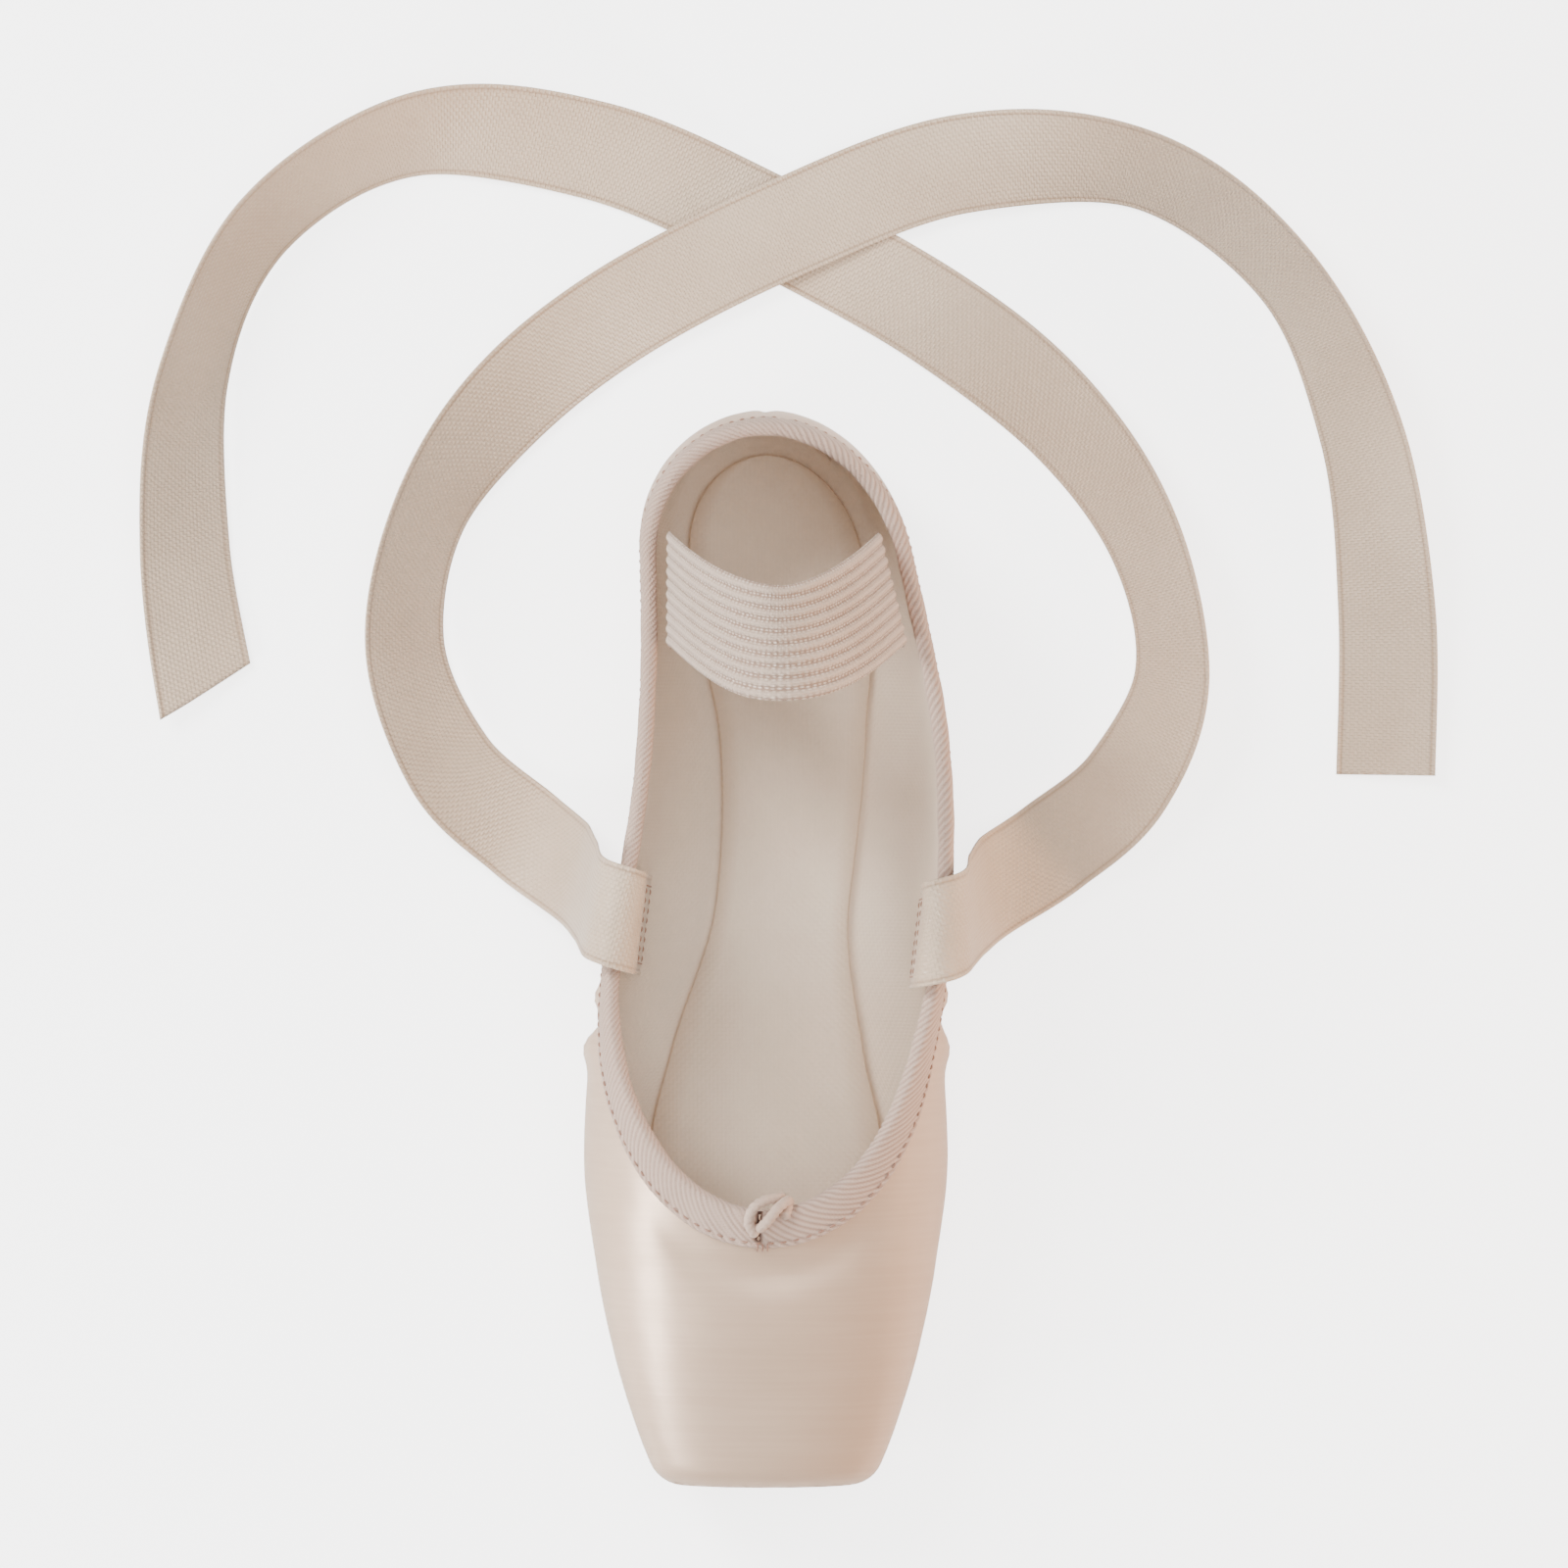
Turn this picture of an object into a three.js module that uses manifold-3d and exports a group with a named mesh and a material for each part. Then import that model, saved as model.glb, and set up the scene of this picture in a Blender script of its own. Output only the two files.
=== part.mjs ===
// Pointe shoe, right foot, standing empty and unbent on its leather sole.
// Millimetres, +Z up. The toe points to -Y and the heel to +Y; +X is the inner side of the foot.
// The origin lies on the floor, under the middle of the shoe.
import * as THREE from "three";
import { mergeVertices } from "three/addons/utils/BufferGeometryUtils.js";
import Module from "manifold-3d";

const wasm = await Module();
wasm.setup();

// Driving sizes
const LENGTH = 236; // platform to the back of the heel
const PLATFORM_EDGE = 4.5; // rounding around the flat platform
const HEEL_ROUND = 30; // length of the heel's rounded end, seen from above
const SEAT_ROUND = 26; // the same for the flat under the heel
const HEEL_EDGE = 7; // rounding under the back of the heel
const HEEL_LEAN = 5.5; // how far the back of the heel leans in at the topline
const HEEL_BULGE_HEIGHT = 22; // where the back of the heel stands out furthest
const INNER_SWING = 6; // how far the waist bows to the inner side of the foot
const SWING_START = 84; // the toe box in front of this stays straight
const WALL = 2; // satin, paste and lining together
const GAP = 0.3; // clearance between pieces that are sewn or glued together
const SOLE_THICKNESS = 3.2;
const SOLE_BEVEL = 1.2;
const INSOLE_THICKNESS = 1.8;
const RIBBON_WIDTH = 22;
const RIBBON_THICKNESS = 0.8;
const ELASTIC_WIDTH = 25;
const ELASTIC_THICKNESS = 1.2;
const CORD_DIAMETER = 1.8;

// The last, one row for each section from the platform to the heel: half its width, half the flat
// width under the foot, the height of its underside, of its widest point and of its crown.
const LAST = [
  { fromToe: 0, halfWidth: 23.5, seat: 12, underside: 9, widest: 20, crown: 32.5 },
  { fromToe: 12, halfWidth: 28.3, seat: 17, underside: 6.4, widest: 20, crown: 36.2 },
  { fromToe: 30, halfWidth: 33.7, seat: 22.5, underside: 4.2, widest: 20, crown: 41.5 },
  { fromToe: 48, halfWidth: 37.3, seat: 26, underside: 3.5, widest: 20, crown: 46.4 },
  { fromToe: 72, halfWidth: 40, seat: 27, underside: 3.5, widest: 21, crown: 53.5 },
  { fromToe: 95, halfWidth: 38.8, seat: 22.5, underside: 4.8, widest: 26, crown: 62 },
  { fromToe: 128, halfWidth: 36, seat: 16, underside: 8.5, widest: 35, crown: 76 },
  { fromToe: 165, halfWidth: 33, seat: 17.5, underside: 5.4, widest: 33, crown: 90 },
  { fromToe: 190, halfWidth: 30.8, seat: 20.5, underside: 3.5, widest: 28, crown: 98 },
  { fromToe: 215, halfWidth: 29, seat: 20.5, underside: 3.5, widest: 25, crown: 100 },
  { fromToe: 236, halfWidth: 28, seat: 19.5, underside: 4.3, widest: 24, crown: 100 },
];

// The topline seen from the side: throat, waist and heel.
const TOPLINE = [
  { fromToe: 0, height: 62 },
  { fromToe: 40, height: 54 },
  { fromToe: 62, height: 50 },
  { fromToe: 90, height: 46.2 },
  { fromToe: 128, height: 43 },
  { fromToe: 165, height: 44.5 },
  { fromToe: 205, height: 50 },
  { fromToe: 236, height: 57 },
];

// Half widths of the outsole. The upper's lasting margin and the insole follow from them.
const OUTSOLE = { from: 17, to: 229, noseRound: 24, heelRound: 24 };
const OUTSOLE_WIDTHS = [
  { fromToe: 17, half: 22 },
  { fromToe: 55, half: 25 },
  { fromToe: 95, half: 19.5 },
  { fromToe: 128, half: 12.5 },
  { fromToe: 165, half: 14.5 },
  { fromToe: 200, half: 18.5 },
  { fromToe: 229, half: 18.5 },
];
const LASTING_MARGIN = 8; // width of upper that lies between insole and outsole
const LASTING_ENDS = 17; // the same at the toe and heel ends of the opening
const INSOLE_INSET = 1.2; // insole edge inside the flat of the last

// Stations and counts of the upper's grid
const TOE_FAN = 83; // columns fan out around this station in front of it
const HEEL_FAN = 203; // and around this one behind it
const SPINE_HEIGHT = 22;
const TOE_COLUMNS = 16;
const SIDE_COLUMNS = 11;
const HEEL_COLUMNS = 8;
const ROWS = 20;
const CASING_ROWS = [7.2, 3.6, 0]; // distances of the topmost rows from the topline
const CORNER_WEIGHT = 9; // millimetres of row spacing that one radian of turn counts for

// Smooth steps and curves through tables

/** A curve through one column of a table that never overshoots its rows. */
function curveThrough(rows, column) {
  const at = rows.map((row) => row.fromToe);
  const value = rows.map((row) => row[column]);
  const slope = at.slice(1).map((x, i) => (value[i + 1] - value[i]) / (x - at[i]));
  const tangent = at.map((_, i) => {
    if (i === 0) return slope[0];
    if (i === at.length - 1) return slope[i - 1];
    const [before, after] = [slope[i - 1], slope[i]];
    return before * after <= 0 ? 0 : (2 * before * after) / (before + after);
  });
  return (x) => {
    const inside = Math.min(Math.max(x, at[0]), at[at.length - 1]);
    let i = 0;
    while (i < at.length - 2 && inside > at[i + 1]) i += 1;
    const step = at[i + 1] - at[i];
    const u = (inside - at[i]) / step;
    const v = 1 - u;
    return (
      v * v * (1 + 2 * u) * value[i] +
      u * u * (3 - 2 * u) * value[i + 1] +
      u * v * step * (v * tangent[i] - u * tangent[i + 1])
    );
  };
}

function smoothStep(from, to, x) {
  const u = Math.min(Math.max((x - from) / (to - from), 0), 1);
  return u * u * (3 - 2 * u);
}

/** Falls from 1 to 0 along a quarter circle over the last `reach` before `end`. */
function roundedEnd(end, reach, x) {
  const u = Math.max((x - end) / reach + 1, 0);
  return u >= 1 ? 0 : Math.sqrt(1 - u * u);
}

// The last

const lastWidth = curveThrough(LAST, "halfWidth");
const lastSeat = curveThrough(LAST, "seat");
const lastUnderside = curveThrough(LAST, "underside");
const lastWidest = curveThrough(LAST, "widest");
const lastCrown = curveThrough(LAST, "crown");
const topline = curveThrough(TOPLINE, "height");
const outsoleWidth = curveThrough(OUTSOLE_WIDTHS, "half");

const stationY = (fromToe) => fromToe - LENGTH / 2;
const fromToeOf = (y) => y + LENGTH / 2;

/** Sideways place of the shoe's middle line. */
function middle(fromToe) {
  const u = Math.min(Math.max((fromToe - SWING_START) / (LENGTH - SWING_START), 0), 1);
  return INNER_SWING * Math.sin(Math.PI * u) ** 2;
}

/** How far every edge draws in near the platform, so that its rim is round. */
function platformInset(fromToe) {
  const reach = PLATFORM_EDGE - fromToe;
  return reach <= 0 ? 0 : PLATFORM_EDGE - Math.sqrt(PLATFORM_EDGE ** 2 - reach ** 2);
}

/** The same for the underside at the back of the heel. */
function heelInset(fromToe) {
  const reach = fromToe - LENGTH + HEEL_EDGE;
  return reach <= 0 ? 0 : HEEL_EDGE - Math.sqrt(HEEL_EDGE ** 2 - reach ** 2);
}

/** Half the last's width at a station and height, or -1 above, below or past it. */
function halfWidthAt(fromToe, z) {
  const above = Math.max(z - HEEL_BULGE_HEIGHT, 0) / (topline(LENGTH) - HEEL_BULGE_HEIGHT);
  const at = fromToe + HEEL_LEAN * above ** 2 * smoothStep(LENGTH - 80, LENGTH, fromToe);
  if (fromToe < 0 || at >= LENGTH) return -1;
  const inset = platformInset(fromToe);
  const width = lastWidth(at) * roundedEnd(LENGTH, HEEL_ROUND, at) - inset;
  const seat = Math.min((lastSeat(at) - inset) * roundedEnd(LENGTH, SEAT_ROUND, at), width);
  const widest = lastWidest(at);
  const limit = z > widest ? lastCrown(at) - inset : lastUnderside(at) + inset + heelInset(at);
  const u = (z - widest) / (limit - widest);
  if (u >= 1) return -1;
  const bow = Math.sqrt(1 - u * u);
  return z > widest ? width * bow : seat + (width - seat) * bow;
}

function insideLast(x, y, z) {
  const fromToe = fromToeOf(y);
  return Math.abs(x - middle(fromToe)) < halfWidthAt(fromToe, z);
}

// The upper's own surface: columns around the shoe, rows from the lasting edge up to the topline

/** Where a ray from the spine meets the last. */
function lastPoint(column, elevation) {
  const out = Math.cos(elevation);
  const up = Math.sin(elevation);
  let near = 0;
  let far = LENGTH;
  for (let i = 0; i < 40; i += 1) {
    const r = (near + far) / 2;
    const hit = insideLast(
      column.x + r * out * column.dx,
      column.y + r * out * column.dy,
      SPINE_HEIGHT + r * up,
    );
    if (hit) near = r;
    else far = r;
  }
  return new THREE.Vector3(
    column.x + near * out * column.dx,
    column.y + near * out * column.dy,
    SPINE_HEIGHT + near * up,
  );
}

/** The elevation between two others at which a rising measure of the surface point crosses zero. */
function elevationWhere(column, from, to, measure) {
  let low = from;
  let high = to;
  for (let i = 0; i < 40; i += 1) {
    const half = (low + high) / 2;
    if (measure(lastPoint(column, half)) < 0) low = half;
    else high = half;
  }
  return (low + high) / 2;
}

/** Half the width of the opening under the foot, which the sole closes. */
function openingHalf(fromToe) {
  const from = OUTSOLE.from + LASTING_ENDS;
  const to = OUTSOLE.to - LASTING_ENDS / 2;
  const ends = roundedEnd(to, OUTSOLE.heelRound, fromToe) * roundedEnd(-from, OUTSOLE.noseRound, -fromToe);
  return Math.max(outsoleWidth(fromToe) - LASTING_MARGIN, 0) * ends;
}

const aboveTopline = (p) => p.z - topline(fromToeOf(p.y));
const outsideOpening = (p) => {
  const fromToe = fromToeOf(p.y);
  return Math.abs(p.x - middle(fromToe)) - openingHalf(fromToe);
};

/** Directions of a fan from one way to another, evenly spaced along the outline that they reach. */
function fanColumns(station, fromAngle, toAngle, count) {
  const fine = 200;
  const spine = { x: middle(station), y: stationY(station) };
  const aim = (angle) => ({ ...spine, dx: Math.sin(angle), dy: -Math.cos(angle) });
  const angles = Array.from({ length: fine + 1 }, (_, i) => fromAngle + ((toAngle - fromAngle) * i) / fine);
  const points = angles.map((angle) => lastPoint(aim(angle), 0));
  const along = [0];
  for (let i = 1; i <= fine; i += 1) along.push(along[i - 1] + points[i].distanceTo(points[i - 1]));
  return Array.from({ length: count }, (_, k) => {
    const want = (along[fine] * k) / count;
    let i = 0;
    while (along[i + 1] < want) i += 1;
    const share = (want - along[i]) / (along[i + 1] - along[i]);
    return aim(angles[i] + (angles[i + 1] - angles[i]) * share);
  });
}

/** Columns along one straight side between the two fans. */
function sideColumns(from, to, dx, count) {
  return Array.from({ length: count }, (_, k) => {
    const station = from + ((to - from) * k) / count;
    return { x: middle(station), y: stationY(station), dx, dy: 0 };
  });
}

/** All the columns, once around the shoe from the middle of the toe by the inner side. */
function columnsAround() {
  const quarter = Math.PI / 2;
  return [
    ...fanColumns(TOE_FAN, 0, quarter, TOE_COLUMNS),
    ...sideColumns(TOE_FAN, HEEL_FAN, 1, SIDE_COLUMNS),
    ...fanColumns(HEEL_FAN, quarter, 2 * quarter, HEEL_COLUMNS),
    ...fanColumns(HEEL_FAN, 2 * quarter, 3 * quarter, HEEL_COLUMNS),
    ...sideColumns(HEEL_FAN, TOE_FAN, -1, SIDE_COLUMNS),
    ...fanColumns(TOE_FAN, 3 * quarter, 4 * quarter, TOE_COLUMNS),
  ];
}

/** One column's points from the lasting edge to the topline, closer together where it turns. */
function profile(column) {
  const fine = 240;
  const low = elevationWhere(column, -Math.PI / 2, 0, outsideOpening);
  const high = elevationWhere(column, 0, Math.PI / 2, aboveTopline);
  const rise = (high - low) / fine;
  const points = Array.from({ length: fine + 1 }, (_, i) => lastPoint(column, low + rise * i));
  const along = [0];
  const weight = [0];
  for (let i = 1; i <= fine; i += 1) {
    const step = points[i].clone().sub(points[i - 1]);
    const before = i > 1 ? points[i - 1].clone().sub(points[i - 2]) : step;
    along.push(along[i - 1] + step.length());
    weight.push(weight[i - 1] + step.length() + CORNER_WEIGHT * step.angleTo(before));
  }
  const pick = (measure, want) => {
    let i = 0;
    while (i < fine - 1 && measure[i + 1] < want) i += 1;
    const share = (want - measure[i]) / (measure[i + 1] - measure[i]);
    return { at: i + share, point: points[i].clone().lerp(points[i + 1], share) };
  };
  const casing = CASING_ROWS.map((down) => pick(along, along[fine] - down));
  const foot = casing[0].at;
  const part = Math.floor(foot);
  const below = weight[part] + (weight[part + 1] - weight[part]) * (foot - part);
  const count = ROWS - CASING_ROWS.length + 1;
  const lower = Array.from({ length: count }, (_, k) => pick(weight, (below * k) / count).point);
  return [...lower, ...casing.map((row) => row.point)];
}

/** The outward direction at each point of a grid that closes on itself around its columns. */
function gridNormals(grid) {
  const count = grid.length;
  return grid.map((column, c) =>
    column.map((_, r) => {
      const before = grid[(c + count - 1) % count];
      const after = grid[(c + 1) % count];
      const around = after[r].clone().sub(before[r]);
      const up = column[Math.min(r + 1, ROWS)].clone().sub(column[Math.max(r - 1, 0)]);
      return around.cross(up).normalize();
    }),
  );
}

const skin = columnsAround().map(profile);
const skinNormals = gridNormals(skin);

/** A point of the skin, moved outwards along its normal. */
const skinPoint = (c, r, outwards) => skin[c][r].clone().addScaledVector(skinNormals[c][r], outwards);

// Closed solids from rings of points

/** A solid through rings of equally many points; `closed` joins the last ring to the first. */
function ringSolid(rings, closed) {
  const size = rings[0].length;
  const position = rings.flat().flatMap((p) => [p.x, p.y, p.z]);
  const index = [];
  const last = closed ? rings.length : rings.length - 1;
  for (let i = 0; i < last; i += 1) {
    const a = i * size;
    const b = ((i + 1) % rings.length) * size;
    for (let k = 0; k < size; k += 1) {
      const next = (k + 1) % size;
      index.push(a + k, b + k, b + next, a + k, b + next, a + next);
    }
  }
  if (!closed) {
    const end = (rings.length - 1) * size;
    for (let k = 1; k < size - 1; k += 1) {
      index.push(0, k, k + 1, end, end + k + 1, end + k);
    }
  }
  const geometry = new THREE.BufferGeometry();
  geometry.setAttribute("position", new THREE.Float32BufferAttribute(position, 3));
  geometry.setIndex(index);
  return facingOut(geometry);
}

/** Turns a closed geometry's faces round if they point inwards. */
function facingOut(geometry) {
  const p = geometry.attributes.position;
  const index = geometry.index.array;
  const corner = (i) => new THREE.Vector3().fromBufferAttribute(p, index[i]);
  let volume = 0;
  for (let i = 0; i < index.length; i += 3) volume += corner(i).dot(corner(i + 1).cross(corner(i + 2)));
  if (volume < 0) {
    for (let i = 0; i < index.length; i += 3) {
      [index[i + 1], index[i + 2]] = [index[i + 2], index[i + 1]];
    }
  }
  return geometry;
}

/** A flat strip along a route, with the direction of its width at each point. */
function stripSolid(points, widthways, width, thickness) {
  const rings = points.map((p, i) => {
    const ahead = points[Math.min(i + 1, points.length - 1)];
    const along = ahead.clone().sub(points[Math.max(i - 1, 0)]).normalize();
    const across = widthways[i].clone().addScaledVector(along, -widthways[i].dot(along)).normalize();
    const through = along.clone().cross(across);
    const corner = (u, v) =>
      p.clone().addScaledVector(across, (u * width) / 2).addScaledVector(through, (v * thickness) / 2);
    return [corner(-1, -1), corner(1, -1), corner(1, 1), corner(-1, 1)];
  });
  return ringSolid(rings, false);
}

/** A round cord along a curve. */
function cordSolid(points, diameter, steps) {
  const section = new THREE.Shape().absarc(0, 0, diameter / 2, 0, 2 * Math.PI);
  const path = new THREE.CatmullRomCurve3(points);
  const options = { steps, curveSegments: 4, extrudePath: path, bevelEnabled: false };
  return new THREE.ExtrudeGeometry(section, options);
}

function toSolid(geometry) {
  const bare = geometry.clone();
  bare.deleteAttribute("normal");
  bare.deleteAttribute("uv");
  const merged = mergeVertices(bare, 1e-4);
  return new wasm.Manifold(
    new wasm.Mesh({
      numProp: 3,
      vertProperties: new Float32Array(merged.attributes.position.array),
      triVerts: new Uint32Array(merged.index.array),
    }),
  );
}

function toGeometry(solid) {
  const mesh = solid.getMesh();
  const geometry = new THREE.BufferGeometry();
  geometry.setAttribute("position", new THREE.BufferAttribute(mesh.vertProperties, 3));
  geometry.setIndex(new THREE.BufferAttribute(mesh.triVerts, 1));
  return geometry;
}

// The pieces

/** Hollow satin upper, open at the topline and under the foot. */
function upper() {
  const rings = skin.map((column, c) => {
    const outer = column.map((_, r) => skinPoint(c, r, 0));
    const inner = column.map((_, r) => skinPoint(c, r, -WALL));
    return [...outer, ...inner.reverse()];
  });
  return ringSolid(rings, true);
}

// The casing's section around the topline: rows of the skin down from its edge, height above the edge
// and offset from the skin.
const CASING = [
  { row: 1, above: 0, out: GAP },
  { row: 0, above: GAP, out: GAP },
  { row: 0, above: GAP, out: -WALL - GAP },
  { row: 1, above: 0, out: -WALL - GAP },
  { row: 2, above: 0, out: -WALL - GAP },
  { row: 2, above: 0, out: -WALL - 1.2 },
  { row: 1, above: 0, out: -WALL - 1.8 },
  { row: 0, above: 0, out: -WALL - 1.6 },
  { row: 0, above: 1.4, out: -WALL - 0.3 },
  { row: 0, above: 1.4, out: 0.3 },
  { row: 0, above: 0, out: 1.6 },
  { row: 1, above: 0, out: 1.8 },
  { row: 2, above: 0, out: 1.2 },
  { row: 2, above: 0, out: GAP },
];

/** A point of the casing's section at one column. */
function casingPoint(c, { row, above, out }) {
  const upwards = skin[c][ROWS].clone().sub(skin[c][ROWS - 1]).normalize();
  return skinPoint(c, ROWS - row, out).addScaledVector(upwards, above);
}

/** Drawstring casing folded over the whole topline. */
function collarBinding() {
  return ringSolid(skin.map((_, c) => CASING.map((row) => casingPoint(c, row))), true);
}

/** A plate between two heights that follows the last's underside. */
function footPlate(stations, topHalf, bottomHalf, bottomHeight, thickness) {
  const shares = [-1, -0.6, 0.6, 1];
  const rings = stations.map((fromToe) => {
    const z = bottomHeight(fromToe);
    const place = (half, share, height) =>
      new THREE.Vector3(middle(fromToe) + half * share, stationY(fromToe), height);
    return [
      ...shares.map((share) => place(bottomHalf(fromToe), share, z)),
      ...shares.map((share) => place(topHalf(fromToe), -share, z + thickness)),
    ];
  });
  return ringSolid(rings, false);
}

/** Stations from one end of a plate to the other, closer together at its rounded ends. */
function plateStations(from, to, count) {
  return Array.from({ length: count + 1 }, (_, k) => {
    const even = k / count;
    const eased = (1 - Math.cos(Math.PI * even)) / 2;
    return from + (to - from) * (0.35 * even + 0.65 * eased);
  });
}

/** Leather outsole, flat under the ball and the heel, raised at the arch and at the toe. */
function outsole() {
  const tip = 0.35; // half width left at the very ends
  const ends = (x) =>
    roundedEnd(OUTSOLE.to, OUTSOLE.heelRound, x) * roundedEnd(-OUTSOLE.from, OUTSOLE.noseRound, -x);
  const half = (x) => Math.max(outsoleWidth(x) * ends(x), tip + SOLE_BEVEL);
  const stations = plateStations(OUTSOLE.from, OUTSOLE.to, 30);
  const bottom = (x) => lastUnderside(x) - GAP - SOLE_THICKNESS;
  return footPlate(stations, half, (x) => half(x) - SOLE_BEVEL, bottom, SOLE_THICKNESS);
}

/** Insole, glued over the lasting margin inside the shoe. */
function insole() {
  const from = 14;
  const to = 227;
  const ends = (x) => roundedEnd(to, OUTSOLE.heelRound, x) * roundedEnd(-from, OUTSOLE.noseRound, -x);
  const half = (x) => Math.max((lastSeat(x) - INSOLE_INSET) * ends(x), 1);
  const bottom = (x) => lastUnderside(x) + WALL + GAP;
  return footPlate(plateStations(from, to, 26), half, half, bottom, INSOLE_THICKNESS);
}

// The ankle elastic stands over the heel as it is worn, leaning a little towards the toe.
const ELASTIC = { station: 196, sewnFrom: 26, rise: 62, lean: 13 };

/** Elastic strap, sewn inside both heel quarters. */
function ankleElastic() {
  const front = ELASTIC.station - ELASTIC_WIDTH / 2;
  const back = ELASTIC.station + ELASTIC_WIDTH / 2;
  const start = topline(back) + 2;
  const clear = WALL + 1.8 + GAP + ELASTIC_THICKNESS / 2;
  const wallAt = (fromToe, side) =>
    middle(fromToe) + side * (halfWidthAt(fromToe, topline(fromToe)) - clear);
  const foot = (side) => (wallAt(front, side) + wallAt(back, side)) / 2;
  const along = (side) =>
    new THREE.Vector3(wallAt(back, side) - wallAt(front, side), ELASTIC_WIDTH, 0).normalize();
  const centre = (foot(1) + foot(-1)) / 2;
  const half = (foot(1) - foot(-1)) / 2;
  const y = stationY(ELASTIC.station);
  const points = [];
  const widthways = [];
  const sewn = [0, 1 / 3, 2 / 3].map((share) => ELASTIC.sewnFrom + (start - ELASTIC.sewnFrom) * share);
  for (const z of sewn) {
    points.push(new THREE.Vector3(foot(-1), y, z));
    widthways.push(along(-1));
  }
  const steps = 24;
  for (let i = 0; i <= steps; i += 1) {
    const angle = (Math.PI * i) / steps;
    const up = Math.sin(angle);
    const x = centre - half * Math.cos(angle);
    points.push(new THREE.Vector3(x, y - ELASTIC.lean * up * up, start + ELASTIC.rise * up));
    widthways.push(along(-1).lerp(along(1), i / steps));
  }
  for (const z of sewn.reverse()) {
    points.push(new THREE.Vector3(foot(1), y, z));
    widthways.push(along(1));
  }
  return stripSolid(points, widthways, ELASTIC_WIDTH, ELASTIC_THICKNESS);
}

// Ribbons, sewn inside the waist, laid over the topline and along the floor. Each row is a point of
// the middle line: its place, the height of the lower edge, the heading in degrees from +X and how far
// the left edge is tipped up.
const RIBBON_INNER = [
  { x: 33, y: 2, lift: 23, heading: -7, tip: 0 },
  { x: 33.2, y: 2.5, lift: 37, heading: -7, tip: 0 },
  { x: 33.9, y: 3, lift: 45.6, heading: -7, tip: 0 },
  { x: 38.4, y: 4.5, lift: 48.2, heading: -5, tip: 0 },
  { x: 43.6, y: 6.5, lift: 43.8, heading: 0, tip: 0 },
  { x: 46.6, y: 10, lift: 28, heading: 8, tip: 0 },
  { x: 51.5, y: 14, lift: 11, heading: 16, tip: 0 },
  { x: 64, y: 22, lift: 1.6, heading: 28, tip: -4 },
  { x: 80, y: 36, lift: 0.6, heading: 46, tip: -22 },
  { x: 90, y: 60, lift: 0.6, heading: 82, tip: -44 },
  { x: 84, y: 90, lift: 0.6, heading: 112, tip: -46 },
  { x: 66, y: 117, lift: 0.6, heading: 133, tip: -26 },
  { x: 38, y: 140, lift: 0.5, heading: 146, tip: -5 },
  { x: 0, y: 161, lift: 0.5, heading: 154, tip: 0 },
  { x: -38, y: 177, lift: 0.6, heading: 163, tip: -8 },
  { x: -78, y: 180, lift: 0.6, heading: 193, tip: -40 },
  { x: -111, y: 160, lift: 0.6, heading: 229, tip: -56 },
  { x: -127, y: 126, lift: 0.6, heading: 257, tip: -50 },
  { x: -129, y: 88, lift: 0.6, heading: 272, tip: -30 },
  { x: -124, y: 52, lift: 0.6, heading: 280, tip: -8 },
];
const RIBBON_OUTER = [
  { x: -26.5, y: 5, lift: 23, heading: 173, tip: 0 },
  { x: -27, y: 5.5, lift: 37, heading: 173.5, tip: 0 },
  { x: -27.7, y: 6, lift: 45.4, heading: 173.5, tip: 0 },
  { x: -32.3, y: 7.5, lift: 48, heading: 173, tip: 0 },
  { x: -37.2, y: 9.5, lift: 43.6, heading: 171, tip: 0 },
  { x: -39.6, y: 13, lift: 28, heading: 168, tip: 0 },
  { x: -43.5, y: 17, lift: 11, heading: 163, tip: 0 },
  { x: -54, y: 25, lift: 1.6, heading: 151, tip: 4 },
  { x: -70, y: 40, lift: 0.6, heading: 130, tip: 22 },
  { x: -80, y: 66, lift: 0.6, heading: 96, tip: 42 },
  { x: -75, y: 95, lift: 0.6, heading: 68, tip: 44 },
  { x: -58, y: 120, lift: 0.6, heading: 46, tip: 24 },
  { x: -32, y: 141, lift: 1.9, heading: 34, tip: 5 },
  { x: 5, y: 160, lift: 2.4, heading: 25, tip: 0 },
  { x: 44, y: 174, lift: 1.7, heading: 13, tip: 10 },
  { x: 84, y: 172, lift: 0.6, heading: -18, tip: 44 },
  { x: 115, y: 149, lift: 0.6, heading: -52, tip: 52 },
  { x: 132, y: 114, lift: 0.6, heading: -76, tip: 40 },
  { x: 138, y: 75, lift: 0.6, heading: -86, tip: 18 },
  { x: 138, y: 38, lift: 0.6, heading: -92, tip: 6 },
];
const RIBBON_STEPS = 4; // sections between two rows

/** One value of a curve through a table's rows, at a row number and a share of the way to the next. */
function between(rows, column, i, u) {
  const at = (k) => rows[Math.min(Math.max(k, 0), rows.length - 1)][column];
  const [a, b, c, d] = [at(i - 1), at(i), at(i + 1), at(i + 2)];
  return b + 0.5 * u * (c - a + u * (2 * a - 5 * b + 4 * c - d + u * (3 * (b - c) + d - a)));
}

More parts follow.
